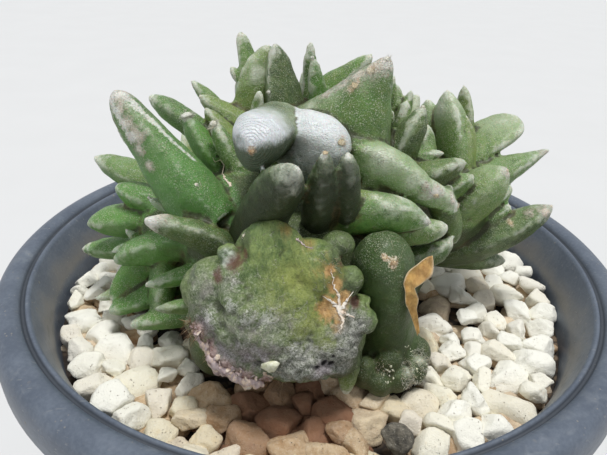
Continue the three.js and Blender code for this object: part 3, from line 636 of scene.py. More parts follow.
# Root and tip as x, y and height above the gravel, width, form, look, thickness and bend
tubercles = {
    "greatHorn": ((-17.5, -19, 25), (-32.2, -14, 42.3), 12.5, "bluntHorn", "green", 0.8),
    "backFinger": ((-19, -4, 30.5), (-30.3, -2, 38.3), 5.8, "finger", "green", 0.8, 0.05),
    "splitTop": ((-18, 3, 34.6), (-23.8, 4, 40), 3.4, "finger", "pale"),
    "splitMid": ((-13, 0, 33), (-22, 1, 38), 5.8, "leaf", "olive"),
    "splitLow": ((-14, -6, 31), (-20, -4, 37.2), 5.4, "leaf", "olive"),
    "woolA": ((-17, -9.5, 28), (-23, -6, 36.4), 5.6, "tongue", "fresh"),
    "woolB": ((-13, -12.5, 29), (-17.5, -10, 36.5), 4.6, "finger", "pale"),
    "topSpike": ((-12.3, 15, 33), (-16, 18, 46.8), 8, "spike", "pale"),
    "topNub": ((-14, 15, 35.5), (-18.2, 16, 40.3), 2.9, "finger", "pale"),
    "wedgeLeft": ((-13, 3.5, 31.5), (-9.4, 6, 46.6), 9.5, "tongue", "olive", 0.7),
    "wedgeRight": ((-5.2, 1, 32), (-8.2, 4, 47), 9.5, "leaf", "dark", 0.7),
    "wedgeNub": ((-11.4, -2, 33), (-10.3, -3, 40.3), 3.2, "finger", "pale"),
    "thinSpike": ((-1.8, 8, 34), (-1.7, 10, 47), 3.2, "tongue", "pale"),
    "smallHorn": ((0.4, 4, 35), (-1.3, 4, 45), 4.2, "leaf", "green"),
    "crownHorn": ((2.5, -8.5, 32), (10.1, -14.5, 48.8), 25, "cone", "crest", 0.95),
    "crownLeaf": ((0, 8.5, 37), (10, 6, 45.2), 5.6, "leaf", "pale"),
    "crownBead": ((7.5, -2, 33), (11.3, -2, 42.4), 4.6, "dome", "pale"),
    "crownNub": ((11, 0, 34.5), (13.2, 0, 43.2), 3.2, "finger", "pale"),
    "clusterA": ((14.6, -1, 32.5), (16.4, -1, 40.9), 3, "finger", "pale"),
    "clusterB": ((13, 0, 32.5), (14.2, 1, 41.2), 4.6, "tongue", "pale"),
    "clusterC": ((9.5, -8, 30.5), (12.3, -8, 39), 3.4, "finger", "pale"),
    "clusterD": ((14, -3, 31), (15.4, -3, 39.2), 5, "dome", "pale"),
    "spotLeaf": ((12, -8.5, 27), (17.4, -8.5, 40), 7.4, "tongue", "dark", 0.75),
    "paleLeaf": ((21.5, 3.5, 28), (21, 6, 37.5), 5.6, "tongue", "light"),
    "paleDome": ((19.2, -4.5, 26), (19, -3.5, 35.6), 6, "dome", "light"),
    "paleFinger": ((14.5, -6, 29.6), (22.4, -7.5, 31.5), 3, "finger", "pale"),
    "rightTongue": ((26.5, 0, 23), (23.4, 2, 40), 10, "tongue", "light", 0.65),
    "tongueSide": ((27.5, -1.5, 23.5), (26.8, 0.5, 36), 6.4, "tongue", "olive"),
    "farSpike": ((31, 9.5, 26), (28.8, 11, 39.2), 4.6, "tongue", "olive"),
    "broadLeaf": ((27, 6, 25), (40.6, 10, 33), 12, "fan", "light", 0.45),
    "rightHorn": ((27.5, 1, 20.5), (44, 0, 30.2), 15, "cone", "light", 0.75),
    "greyWedge": ((24.5, -4.5, 18), (33, -9.5, 29.6), 10.5, "tongue", "light", 0.85),
    "midLeaf": ((13.5, -10.5, 26.5), (25, -12, 31.6), 7.6, "leaf", "dark"),
    "midLeafLow": ((18, -9, 23), (27.2, -11, 28.8), 7.6, "leaf", "green"),
    "hiddenLeafA": ((29, -3, 16), (37.2, -3, 23.6), 7, "leaf", "green"),
    "hiddenLeafB": ((30, -4.5, 14.5), (37, -5, 20.6), 4.2, "finger", "green"),
    "lowHorn": ((26.5, -4, 11), (44, -6.5, 21.3), 10, "leaf", "dark", 0.8, -0.04),
    "lowDome": ((24, -3, 9), (39.6, -2, 6.6), 6.8, "dome", "dark"),
    "ridgeLeaf": ((2, -16, 33.5), (18.4, -20, 28.6), 8.8, "tongue", "light", 0.8, 0.1),
    "ridgeFinger": ((9.5, -17.5, 29.8), (22.8, -19, 26.2), 6.2, "finger", "light", 0.8, 0.08),
    "ridgeDrop": ((20.5, -17.8, 26.4), (24, -16.5, 18.5), 5, "finger", "dark"),
    "smallDome": ((3, -21, 28.5), (9.6, -25, 30.3), 5.2, "leaf", "olive"),
    "armFinger": ((1.6, -23.4, 24.4), (17.4, -25, 26.4), 8.4, "tongue", "green", 0.8, 0.14),
    "armUnder": ((9.5, -20, 22), (20.8, -22, 24.4), 6.2, "finger", "pale"),
    "armLow": ((12, -18, 16), (22.6, -20, 21), 6, "finger", "dark", 0.8, -0.1),
    "twinA": ((-0.4, -22.5, 23.5), (0.6, -31, 39.8), 4.8, "finger", "dusk", 0.8, -0.08),
    "twinB": ((4.3, -22.5, 25), (3.6, -29.5, 39.2), 4.6, "finger", "dusk", 0.8, -0.06),
    "greyDome": ((-3.5, -15, 36), (3.2, -25.2, 37.8), 9.6, "tongue", "grey", 1.2),
    "ringDome": ((-6.5, -16, 38), (-9.2, -31, 40.4), 8, "column", "grey", 1.1),
    "thumb": ((-10.5, -24, 21), (-3.4, -35, 39), 7.8, "finger", "dusk", 0.8, 0.04),
    "leftArm": ((-12.5, -24.5, 19), (-25.4, -28, 27), 7.6, "bluntHorn", "dark", 0.8, 0.08),
    "leafL1": ((-27, 1, 18.5), (-43.6, 2, 25), 9, "leaf", "pale"),
    "leafL2": ((-26, -6, 18.5), (-36.8, -7, 22.8), 7.6, "tongue", "fresh"),
    "nubL2": ((-22.5, -12.5, 19.5), (-28.4, -15, 24.6), 2.9, "finger", "fresh"),
    "leafL3": ((-28.5, -6.5, 15.5), (-43, -7, 14.8), 8.8, "tongue", "fresh", 0.8, 0.06),
    "leafL4": ((-29, -4, 9.5), (-46.6, -4, 7.4), 7.6, "leaf", "fresh"),
    "leafL5": ((-28, -10.5, 14.5), (-37, -13, 12.4), 4.2, "leaf", "fresh"),
    "nubL5": ((-29.5, -12.5, 13), (-33.5, -14, 17.8), 2.4, "finger", "fresh"),
    "leafL6": ((-21.5, -17.5, 16.5), (-34.6, -18, 13.4), 7.6, "tongue", "fresh", 0.8, 0.1),
    "brightFinger": ((-18.5, -22.5, 15.5), (-27, -27, 14.8), 4, "leaf", "fresh"),
    "leafL7": ((-30, -12, 12), (-37, -17, 4.4), 6, "leaf", "fresh"),
    "leafL8": ((-31, -12.5, 5.5), (-40.8, -15, 3.2), 4, "leaf", "light"),
    "leafL9": ((-27.5, -15.5, 6.5), (-36.8, -19, 3.4), 6, "leaf", "fresh"),
    "stalkL": ((-25.5, -15.5, 16), (-27, -21.5, 2.5), 6.2, "finger", "green"),
    "leafL10": ((-21, -19.5, 4.8), (-31.8, -23, 3.8), 5.8, "leaf", "green"),
    "spinyNub": ((-14.5, -27, 12.5), (-24.4, -31, 13.4), 4.2, "leaf", "green"),
    "woolBulb": ((-10.8, -26, 20.5), (-12.6, -33, 25), 4, "dome", "dark"),
    "woolBulbNear": ((-9, -26, 22.5), (-9.6, -31.5, 26.6), 2.6, "finger", "dark"),
    "pillar": ((13, -26.5, 1), (9.4, -28, 26.2), 10.2, "post", "post", 0.95),
    "hornNub": ((-14, -20, 24), (-18.2, -23, 30.8), 3.4, "spike", "fresh"),
    "hornBack": ((-29.5, -6, 26.5), (-35.2, -6, 34), 2.8, "finger", "pale"),
    "lowLobeNub": ((-5, -29, 4), (-3.6, -34, 2.6), 3, "dome", "dark"),
    "stripR": ((6.2, -33, 15.5), (5.2, -36.6, 2.6), 4.4, "finger", "olive"),
}
farHeads = [
    (5, (4, 12, 15), (19, 15, 15), 46, 108, 0.12, 1),
    (11, (-24, 1, 11), (10, 12, 11), 20, 100, 0.3, 0.85),
    (23, (24, 5, 17), (10, 10, 9), 18, 100, 0.35, 0.85),
]  # seed, centre, radii, count, spread, how far behind and size
plant = {
    "goldenAngle": 137.5,
    "lowestTip": 3,
    "sunk": 2.5,
    "sides": 26,
    "rings": 22,
    "neckRadius": 13,
    "rootDepth": 34,
    "thick": 0.8,  # of a tubercle whose row doesn't say it
    "farLengths": (9.5, 14.5),
    "farWidths": (6, 9.5),
    "crown": (0, -2, 58),  # the tubercles' inner faces look to this point
}


surfaces = {}


def surfaceOf(mesh):
    return BVHTree.FromPolygons(points(mesh).tolist(), [list(p.vertices) for p in mesh.polygons])


# The nearest place on a skin, in millimetres, with its normal
def onSkin(name, x, y, h):
    place, normal, _, _ = surfaces[name].find_nearest((x, y, h + gravelTop))
    return np.array(place), np.array(normal)


def unit(v):
    return v / np.linalg.norm(v)


def farTubercles():
    kinds = ["leaf", "horn", "tongue", "leaf", "finger"]
    tints = ["green", "olive", "fresh", "pale"]
    found = {}
    for seed, centre, radii, count, spread, behind, size in farHeads:
        draw = seeded(seed)
        for i in range(count):
            around = math.radians(i * plant["goldenAngle"] + 10 * draw())
            down = math.radians(spread * math.sqrt((i + 0.5) / count))
            flat = math.sin(down)
            out = np.array([flat * math.cos(around), flat * math.sin(around), math.cos(down)])
            length = size * lerp(*plant["farLengths"], draw())
            wide = size * lerp(*plant["farWidths"], draw())
            form = kinds[int(draw() * len(kinds))]
            root = np.array(centre) + out * radii * 0.86
            tip = root + out * length
            tip[2] += 0.35 * length
            low = max(0, plant["lowestTip"] - tip[2])
            root[2] += low
            tip[2] += low
            if out[1] > behind:
                found[f"far{seed}.{i}"] = (root, tip, wide, form, tints[(i * 7 + seed) % 4], 0.7, 0.04)
    return found


def girth(form, t):
    foot, peak, tipShare, power, rounding, _ = forms[form]
    early = lerp(foot, 1, np.sin(np.minimum(t / peak, 1) * np.pi / 2))
    late = 1 - (1 - tipShare) * np.maximum((t - peak) / (1 - peak), 0) ** power
    cap = np.sqrt(np.maximum(0, 1 - (np.maximum(t - (1 - rounding), 0) / rounding) ** 2))
    return np.where(t < peak, early, late) * cap


# The arched line of a tubercle at t, with the directions across it and towards the crown
def spine(row, t):
    root, tip = np.array(row[0], float), np.array(row[1], float)
    bend = row[6] if len(row) > 6 else 0
    start, end = root + (0, 0, gravelTop), tip + (0, 0, gravelTop)
    along = unit(end - start)
    start = start - along * plant["sunk"]
    middle = (start + end) / 2
    face = np.array(plant["crown"]) + (0, 0, gravelTop) - middle
    face = unit(face - along * (face @ along))
    middle = middle + face * 2 * bend * np.linalg.norm(end - start)
    t = np.asarray(t)[:, None]
    line = (1 - t) ** 2 * start + 2 * t * (1 - t) * middle + t**2 * end
    tangent = 2 * (1 - t) * (middle - start) + 2 * t * (end - middle)
    tangent /= np.linalg.norm(tangent, axis=1)[:, None]
    side = np.cross(face, tangent)
    side /= np.linalg.norm(side, axis=1)[:, None]
    return line, side, np.cross(tangent, side)


def tubercleShell(row):
    wide, form = row[2], row[3]
    thick = row[5] if len(row) > 5 else plant["thick"]
    rounding, sharp = forms[form][4:]
    body = np.linspace(0, 1 - rounding, plant["rings"] - 8, endpoint=False)
    cap = 1 - rounding + rounding * np.sin(np.linspace(0, 0.94, 8) * np.pi / 2)
    t = np.concatenate([body, cap])
    line, side, rise = spine(row, t)
    angles = 2 * np.pi * (np.arange(plant["sides"]) + 0.5) / plant["sides"]
    up = np.sin(angles)
    keel = 1 + 0.05 * np.cos(3 * (angles + np.pi / 2))
    across = np.cos(angles) * (1 - 0.12 * np.maximum(0, -up)) * keel
    high = np.sign(up) * np.abs(up) ** sharp * thick * np.where(up > 0, 0.85, 1.1) * keel
    half = girth(form, t) * wide / 2
    rings = [line[k] + half[k] * (across[:, None] * side[k] + high[:, None] * rise[k]) for k in range(len(t))]
    return tube(rings, *spine(row, [0.0, 1.0])[0])


def ellipsoidShell(centre, radii, across=36, along=22):
    downs = [math.pi * (1 - k / along) for k in range(1, along)]
    rings = [circle(math.sin(down), math.cos(down), across) for down in downs]
    pts, faces = tube(rings, (0, 0, -1), (0, 0, 1))
    return pts * radii + np.array(centre) + (0, 0, gravelTop), faces


# The swollen, scarred growth at the front: overlapping lobes and a cone above them
frontLobes = {
    "core": ((-6.5, -31.5, 15.8), (10.5, 8.8, 9.2)),
    "leftRidge": ((-14.6, -33, 18.4), (4, 4.2, 5.6)),
    "leftLow": ((-14.6, -33.4, 13.4), (4.2, 4.2, 4.6)),
    "belly": ((-9, -35.8, 15.6), (5.6, 5.2, 6)),
    "lowLeft": ((-11, -36, 11.2), (4.6, 4.2, 3.7)),
    "bottomRoll": ((-2.2, -36.2, 10.5), (7.4, 4.8, 3.9)),
    "lowRight": ((2.4, -35.2, 13), (4.5, 4.8, 5.8)),
    "knobHigh": ((-11.2, -37.4, 20.6), (2.2, 2.2, 2.2)),
    "knobMid": ((-8.9, -38.9, 18.9), (2.1, 2, 2.1)),
    "knobLeft": ((-13.2, -36.6, 16.6), (2.5, 2.3, 2.4)),
    "knobLow": ((-6.2, -39.4, 15.2), (2.4, 1.9, 2.2)),
    "rimLow": ((-7.2, -38.4, 10.6), (2.6, 2.2, 2)),
    "shoulderLeft": ((-11.6, -33.6, 21.2), (3.6, 3.6, 3.2)),
    "shoulderRight": ((-0.8, -32.6, 22.4), (4.6, 4.2, 4.8)),
    "roundNub": ((6.6, -35.2, 15.8), (2.5, 2.1, 2.2)),
    "tornNub": ((4.8, -32.5, 20.6), (2.2, 2, 2.4)),
    "upperNub": ((3, -30.5, 25.6), (2.4, 2, 1.9)),
    "leftWing": ((-17.2, -31.4, 17.6), (2.6, 2.8, 3.8)),
    "glassyBud": ((-12.4, -33.6, 25.3), (1.5, 1.5, 1.7)),
    "hemLeft": ((-8.6, -36.8, 9.3), (4.2, 3.8, 3)),
    "hemRight": ((3.2, -35.8, 9.7), (3.4, 3.6, 3)),
}
frontRidges = {
    "cone": ((-6.2, -33.5, 14), (-6.3, -32, 29.8), 20, "horn", "lump", 0.65),
    "ridgeRight": ((3.2, -34.8, 12), (1.2, -32.4, 26.6), 6, "finger", "lump", 0.9),
    "ridgeMid": ((-2.6, -36.8, 12), (-5.2, -32.6, 27.4), 5.2, "finger", "lump", 0.9),
    "ridgeLeft": ((-12.4, -36.4, 17), (-7.4, -32.4, 27.6), 4.6, "finger", "lump", 0.9),
}


def rootShell():
    radius, low, top = plant["neckRadius"], bedTop - 6, bedTop + 4
    bottom = low - plant["rootDepth"]
    rings = [circle(r, z, 32) for r, z in ((radius * 0.45, bottom), (radius, low), (radius, top))]
    return tube(rings, (0, 0, bottom), (0, 0, top))


# Joins the shells into one skin with soft creases
def grownSkin(name, shells, voxel, rounds):
    pts, faces = merge(shells)
    skin = newMesh(name, pts, faces)
    remesh = skin.modifiers.new("remesh", "REMESH")
    remesh.mode = "VOXEL"
    remesh.voxel_size = voxel * mm
    soften = skin.modifiers.new("soften", "SMOOTH")
    soften.factor = 0.5
    soften.iterations = rounds
    shaped = bpy.data.meshes.new_from_object(skin.evaluated_get(bpy.context.evaluated_depsgraph_get()))
    skin.modifiers.clear()
    old = skin.data
    skin.data = shaped
    bpy.data.meshes.remove(old)
    shaped.polygons.foreach_set("use_smooth", [True] * len(shaped.polygons))
    print(name, "has", 2 * len(shaped.polygons), "triangles")
    return skin


# Which tubercle each point of the skin belongs to, and where on it
def readTubercles(co, rows):
    count = len(co)
    best = np.full(count, 9.0)
    owner = np.full(count, -1)
    along, aside = np.zeros(count), np.zeros(count)
    samples = np.linspace(0.1, 1, 16)
    for index, row in enumerate(rows.values()):
        line, side, rise = spine(row, samples)
        reach = row[2] + 2
        near = np.flatnonzero((co > line.min(0) - reach).all(1) & (co < line.max(0) + reach).all(1))
        if not len(near):
            continue
        off = co[near][:, None] - line[None]
        thick = row[5] if len(row) > 5 else plant["thick"]
        lift = (off * rise[None]).sum(2)
        shift = (off * side[None]).sum(2)
        distance = np.sqrt((off**2).sum(2) + (1 / thick**2 - 1) * lift**2)
        gap = distance - girth(row[3], samples) * row[2] / 2
        pick = gap.argmin(1)
        at = np.arange(len(near))
        closest = gap[at, pick]
        wins = closest < best[near]
        won = near[wins]
        best[won] = closest[wins]
        owner[won] = index
        along[won] = samples[pick[wins]]
        full = np.maximum(distance[at, pick][wins], 0.01)
        aside[won] = shift[at, pick][wins] / full
    return best, owner, along, aside


# How near each point is to a patch's middle: 1 there, 0.5 at its radius. Depth counts for less
def patch(co, places, depth=0.5):
    value = np.zeros(len(co))
    for x, y, h, radius in places:
        off = (co - (x, y, h + gravelTop)) * (1, depth, 1)
        value = np.maximum(value, 1 - np.linalg.norm(off, axis=1) / (2 * radius))
    return value


def streak(first, last, count, radius):
    return [(*lerp(np.array(first), np.array(last), k / (count - 1)), radius) for k in range(count)]


# Marks on the skin: x, y, height and radius
skinMarks = {
    "areole": [
        (-9, -31, 39.4, 0.7), (10.9, -31.8, 23.4, 0.9), (9.7, -31.9, 24.2, 0.6), (36.3, -7.8, 18.2, 0.6),
        (4.4, -16.3, 44.2, 0.8), (5.6, -15.6, 45.4, 0.7), (7.4, -15.4, 46.8, 0.7), (3.4, -25.2, 39.2, 0.9),
        (18.6, -20.5, 29, 0.5), (0.5, -31.3, 39.6, 0.5), (27, -8, 25, 1.4), (23, -12, 25.6, 0.8),
    ],
    # Bloom marks: pale waxy bloom, partly painted highlights on the domes, ridges and tips, and painted light
    # on some shaded faces
    "bloomAndHighlight": [
        (-7.7, -30.6, 41.3, 3.6), (-2.2, -13, 41.5, 3.2), (1, -14, 43.8, 2.2), (6.4, -15.6, 46.6, 1.8),
        (-6.5, -26, 43, 3.4), (1.5, -24.6, 40.2, 4), (-1.5, -22, 41.5, 3.5), (10, -21, 34.4, 3.4),
        (11, -26.4, 29.4, 3), (23, 1, 37, 2.4), (37, 8, 32, 3), (14.5, -21, 31.6, 2.2),
        (18.6, -20.5, 29.6, 2.2), (12.6, -24, 30, 2.2), (16, -24.6, 28, 2), (21.4, -19.4, 28.4, 1.8),
        (-3.2, -34, 38.4, 4), (3.5, -29.9, 38.4, 1.6), (0.2, -31.2, 39, 1.4), (-24, -28.5, 27.4, 2),
        (-11, 2, 42, 2.5), (-12.4, -32.6, 25.4, 1.2), (15.4, -33, 4.4, 1.8), (17.4, -31, 5, 1.6),
        (0.5, -31, 39, 0.9),
    ],
    "chalk": [
        (-28.6, -18.7, 36.4, 0.8), (-9.2, -31.6, 42, 1.3), (9.6, -15.4, 48.4, 0.9), (0.2, -31.4, 39.4, 0.6),
        (3.5, -30, 38.9, 0.6), (-2.4, -34.6, 39.2, 1), (18.2, -20.8, 29.4, 0.9), (22.8, -19.6, 27.4, 0.8),
        (16.6, -25.6, 27.2, 0.8), (-24.4, -28.4, 27.2, 1.1),
    ]
    + streak((-31.6, -15.2, 42.2), (-29.6, -16.1, 42.1), 3, 0.8)
    + streak((-29.6, -16.1, 42), (-27.6, -17.2, 40.5), 4, 0.75)
    + streak((-27.6, -17.2, 40.5), (-22.7, -18.5, 36.3), 9, 0.6)
    + streak((-22.7, -18.5, 36.3), (-19.4, -19, 33.3), 6, 0.45)
    + streak((-31.9, -15.8, 41.3), (-29.4, -18.6, 37), 7, 0.6),
    "cork": [
        (-34, -14.6, 41.4, 0.7), (-33.4, -15.8, 39.4, 0.7), (-32.2, -17, 37.2, 0.7), (-31, -18.2, 35, 0.7),
        (-30.8, -16, 42.2, 1.5), (-30.2, -17, 40.2, 0.9), (-29.2, -18.4, 38.4, 1.0),
        (-27.7, -19.4, 36.8, 1.3), (-27.6, -19.8, 34.8, 0.9), (-26, -20.6, 32.6, 0.8),
        (9.3, -15.5, 48.2, 1.5), (7.4, -15.4, 47.4, 1.5), (5.2, -14.6, 46.4, 1.6), (2.6, -13.4, 45.2, 1.7),
        (0.4, -12.6, 43.4, 1.3), (-24.7, -28.3, 27, 1.5), (-23.1, -27.2, 27.8, 1.3), (42.7, -1.2, 30, 0.9),
        (42.4, -7.8, 20.9, 1.1), (39.4, -7.4, 20.6, 0.9), (3.2, -24.6, 39.2, 0.8), (18.4, -20.8, 29.6, 1),
        (16.4, -20.8, 30.8, 0.7), (21.6, -19.6, 28.4, 0.7), (33, -9.6, 29.2, 0.8), (26, -12, 31.4, 0.6),
        (17, -25.4, 26.8, 0.6),
    ],
}
markDepth = {"areole": 0.5, "bloomAndHighlight": 1, "chalk": 1, "cork": 0.8}
# The skin between the tubercles gets painted shade
bareSkin = (0.2, 0.45, 0.3, 0, 0.45)  # the look of the skin between the tubercles
variety = {"seed": 77, "range": 0.25}  # how the looks differ from one tubercle to the next


def readSkin(mesh, rows, swell=0.2):
    co = points(mesh)
    best, owner, along, aside = readTubercles(co, rows)
    owned = smooth(1.4, 0.2, best) * (owner >= 0)
    table = np.array([looks[row[4]] for row in rows.values()] + [bareSkin])
    draw = seeded(variety["seed"])
    shift = [[variety["range"] * (draw() - 0.5) for _ in range(3)] + [0, 0] for _ in rows] + [[0] * 5]
    levels = lerp(table[-1], (table + shift)[owner], owned[:, None]).T
    tip = spine(tubercles["ringDome"], [1.0])[0][0]
    out = vectors(mesh, "normal")
    uneven = grain(co, 4.5, 1) + 0.6 * grain(co, 2, 2) + 0.3 * grain(co, 0.9, 12)
    co = co + out * (swell * uneven)[:, None]
    setPoints(mesh, co)
    named = np.array([*rows, "none"])[owner]
    values = {
        **dict(zip(("fresh", "olive", "frost", "pale", "shade"), levels)),
        "along": along * owned,
        "aside": np.abs(aside) * owned,
        "hollow": hollows(mesh),
        "ringArea": owned * (named == "ringDome"),
        "ringReach": np.linalg.norm((co - tip) * (1, 0.8, 1), axis=1),
        "wrinkleArea": owned * (named == "greyDome"),
        "hornArea": owned * (named == "greatHorn"),
        **{name: patch(co, places, markDepth[name]) for name, places in skinMarks.items()},
        "sky": vectors(mesh, "normal")[:, 2],
    }
    setValues(mesh, values)


pillarLobes = {
    "lobeA": ((8.4, -32.2, 3.2), (2, 2, 3)),
    "lobeB": ((10.9, -33, 1.8), (2.2, 2, 2.4)),
    "lobeC": ((13.8, -32.4, 2.4), (2.1, 2, 2.6)),
    "lobeD": ((16.6, -30.6, 2.6), (2.2, 2.1, 2.8)),
    "lobeE": ((12.2, -31.8, 5.4), (2.2, 1.8, 2.2)),
    "lobeF": ((17.4, -27.4, 3.4), (2.4, 2.4, 3)),
}

plantSkins = {
    # Voxel size and rounds of smoothing
    "crownSkin": (0.48, 3),
    "leftSkin": (0.45, 3),
    "backSkin": (0.66, 3),
    "pillarStem": (0.34, 5),
    "frontGrowth": (0.28, 6),
    "leftEdge": -11,  # tubercles rooted left of this are in the left skin
    "backShrink": 0.93,
}
frontNubs = ["stripR", "lowLobeNub", "woolBulb", "woolBulbNear", "spinyNub"]
frontLumps = ["frontStem", "lowLobe", "lumpNeck"]


def makePlant():
    p = plantSkins
    flesh = {"Subsurface_Weight": 0.08, "Subsurface_Scale": 1.2 * mm}
    skin = newMaterial("waxySkin", skinLook, IOR=1.42, Coat_Weight=0.1, Coat_Roughness=0.28, **flesh)
    scarred = newMaterial("scarredSkin", scarLook, IOR=1.45, Coat_Weight=0.1, Coat_Roughness=0.25)
    front = frontRidges | {name: tubercles[name] for name in frontNubs}
    near = {name: row for name, row in tubercles.items() if name not in frontNubs and name != "pillar"}
    left = {name: row for name, row in near.items() if row[0][0] < p["leftEdge"]}
    crown = {name: row for name, row in near.items() if name not in left}
    far = farTubercles()
    pillar = {"pillar": tubercles["pillar"]}
    cores = {name: ellipsoidShell(*lump) for name, lump in (lumps | pillarLobes | frontLobes).items()}
    crownCores = [cores[name] for name in ("heart", "rightShoulder", "rightHead", "backHead")]
    leftCores = [cores[name] for name in ("leftShoulder", "leftHead")]
    shrunk = [ellipsoidShell(centre, np.array(radii) * p["backShrink"]) for centre, radii in lumps.values()]
    pillarCores = [cores[name] for name in ("pillarFoot", "pillarBack", *pillarLobes)]
    frontCores = [cores[name] for name in (*frontLumps, *frontLobes)]
    groups = [
        ("crownSkin", crown, crownCores + [rootShell()]),
        ("leftSkin", left, leftCores + shrunk[:1]),
        ("backSkin", far, shrunk[:1] + shrunk[3:6]),
        ("pillarStem", pillar, pillarCores),
        ("frontGrowth", front, frontCores),
    ]
    for name, rows, shells in groups:
        piece = grownSkin(name, shells + [tubercleShell(row) for row in rows.values()], *p[name])
        isFront = name == "frontGrowth"
        (readGrowth if isFront else readSkin)(piece.data, rows)
        dress(piece, scarred if isFront else skin, "cactus", "cactus")
        surfaces[name] = surfaceOf(piece.data)


# Patches of the front growth: x, y, height and radius
growthMarks = {
    "crust": [
        (-4.4, -41, 11.2, 2.4), (-1.6, -41, 11.6, 3), (1.2, -40.5, 11.4, 2.9), (3.4, -39.6, 11.6, 2.6),
        (4.9, -38.6, 13.4, 2.2), (5.2, -37.6, 16.4, 2),
    ],
    "dusty": [
        (-10, -40, 17, 5), (-12.4, -39, 14, 4.6), (-15, -37.5, 17, 4), (-9, -40.5, 12.6, 4),
        (-15.6, -36.5, 21, 3), (-5.5, -41, 17, 3.6), (-3, -41, 13, 4), (4.4, -38.4, 15, 3.4),
        (-12, -36.5, 22.4, 2), (1, -40.6, 13.2, 2.4),
    ],
    # The glassy bud, whose whitish colour is partly painted highlight
    "glassAndHighlight": [(-12.4, -35, 25.4, 1.3)],
    "mauve": [
        (-9.5, -40.5, 13.4, 2.4), (-12.2, -39.6, 12.2, 2), (-6.6, -41, 14, 1.6), (-15.4, -37.6, 15.6, 1.6),
        (1.4, -40.6, 10.6, 1.4),
    ],
    "crease": [
        (-12.6, -35.2, 25.9, 0.22), (-13, -38, 19.4, 0.8), (-12.4, -38.6, 17.4, 0.8),
        (-11, -39.4, 15.6, 0.8), (-9.6, -34, 25.2, 0.9), (-7.6, -41, 12, 0.8), (4.6, -37.4, 17, 0.6),
    ],
    "yellow": [(-2.6, -37, 22.6, 5), (-1, -39, 17.6, 4), (1.4, -40, 14.6, 2.6)],
    "orange": [
        (1, -35, 25, 1.6), (2.4, -35.6, 22.6, 2), (2.8, -37, 18.6, 1.9), (-4.4, -33.5, 28.8, 1),
        (-1.4, -34, 27.4, 1),
    ],
    "scar": [
        (1.9, -35.6, 24.2, 0.8), (2.8, -36.4, 21.8, 1.1), (3.8, -36.6, 19.4, 1.4), (3.6, -38, 17.4, 1.2),
        (1.8, -37, 19, 1.5),
    ],
    "pink": [
        (-16.7, -37, 14, 1.5), (-14.8, -38, 12, 1.5), (-12.6, -39.6, 10.4, 1.6), (-9.8, -40.3, 8.8, 1.6),
        (-7, -40, 8, 1.3),
    ],
    "white": [
        (-12.4, -35, 25.6, 1.2), (-8.9, -40.5, 19.2, 1.3), (-11.5, -39.5, 20.6, 1.1),
        (-6.6, -40.4, 19.2, 1.4), (-10.9, -37.6, 23.4, 0.8), (-13.4, -36, 23.4, 0.9),
        (3.5, -37.4, 18.8, 0.5), (-14.6, -38, 17.6, 1.2), (-3, -41, 14.6, 1),
    ],
    "pit": [
        (1.6, -40.2, 11.6, 0.5), (2.6, -40, 11.3, 0.45), (2.7, -40.5, 13, 0.45), (0.6, -40.4, 11.2, 0.35),
    ],
    "nub": [
        (4.8, -33.5, 20.6, 2), (6.2, -35.8, 15.6, 1.9), (3, -31, 25.6, 1.9), (-9.6, -31.5, 26.8, 1.2),
        (5.6, -36, 8, 3),
    ],
    "redBrown": [
        (-11.2, -33.6, 24.4, 1.2), (-13.4, -35.4, 22.8, 0.8), (-9.6, -33.6, 25.4, 0.7),
        (2.9, -32.6, 24, 0.8), (5.6, -33.8, 18.2, 0.8),
    ],
}
growthTop = (-6.3, -32.5, 29.2)  # the folds and streaks run down from this point


def readGrowth(mesh, rows):
    readSkin(mesh, rows, 0.1)
    co, out = points(mesh), vectors(mesh, "normal")
    marks = {name: patch(co, places) for name, places in growthMarks.items()}
    top = np.array(growthTop) + (0, 0, gravelTop)
    spoke = np.arctan2(co[:, 0] - top[0], top[2] + 4 - co[:, 2])
    reach = np.linalg.norm(co - top, axis=1)
    front = smooth(-29, -33, co[:, 1]) * smooth(gravelTop + 4, gravelTop + 9, co[:, 2])
    folds = np.cos(spoke * 13 + 2 * grain(co, 5, 8)) * smooth(1, 4, reach) * smooth(16, 8, reach)
    depth = 0.34 * grain(co, 2.8, 3) + 0.2 * grain(co, 1.2, 4) + 0.18 * folds + 0.08 * grain(co, 0.6, 10)
    crusty = 0.6 * np.abs(grain(co, 1.5, 5)) + 0.3 * grain(co, 0.8, 6)
    depth += (marks["crust"] * 0.8 + marks["dusty"] * 0.5) * crusty
    depth += marks["pink"] * 0.5 * grain(co, 0.8, 7) - 0.9 * marks["pit"] - 0.5 * marks["crease"]
    depth += 0.12 * marks["scar"] * grain(co, 0.6, 9) - 0.25 * marks["scar"]
    co = co + out * (front * depth)[:, None]
    setPoints(mesh, co)
    values = {**marks, "spoke": spoke, "reach": reach, "growth": front}
    values |= {"hollow": hollows(mesh, 12), "sky": vectors(mesh, "normal")[:, 2]}
    setValues(mesh, values)


# Skin colours, the same on all parts of the plant
skinTones = {
    "deep": (0.055, 0.095, 0.026),
    "fresh": (0.1, 0.255, 0.042),
    "olive": (0.25, 0.31, 0.075),
    # dusk is the colour of painted shade
    "dusk": (0.024, 0.03, 0.013),
    "speck": (0.6, 0.64, 0.46),
    "filmAndSheen": (0.41, 0.51, 0.3),
    "frost": (0.86, 0.86, 0.77),
    "scab": (0.34, 0.25, 0.16),
    # hollow is the colour of painted shade in creases
    "hollow": (0.035, 0.034, 0.012),
    "areole": (0.5, 0.31, 0.17),
    "wool": (0.85, 0.78, 0.62),
}


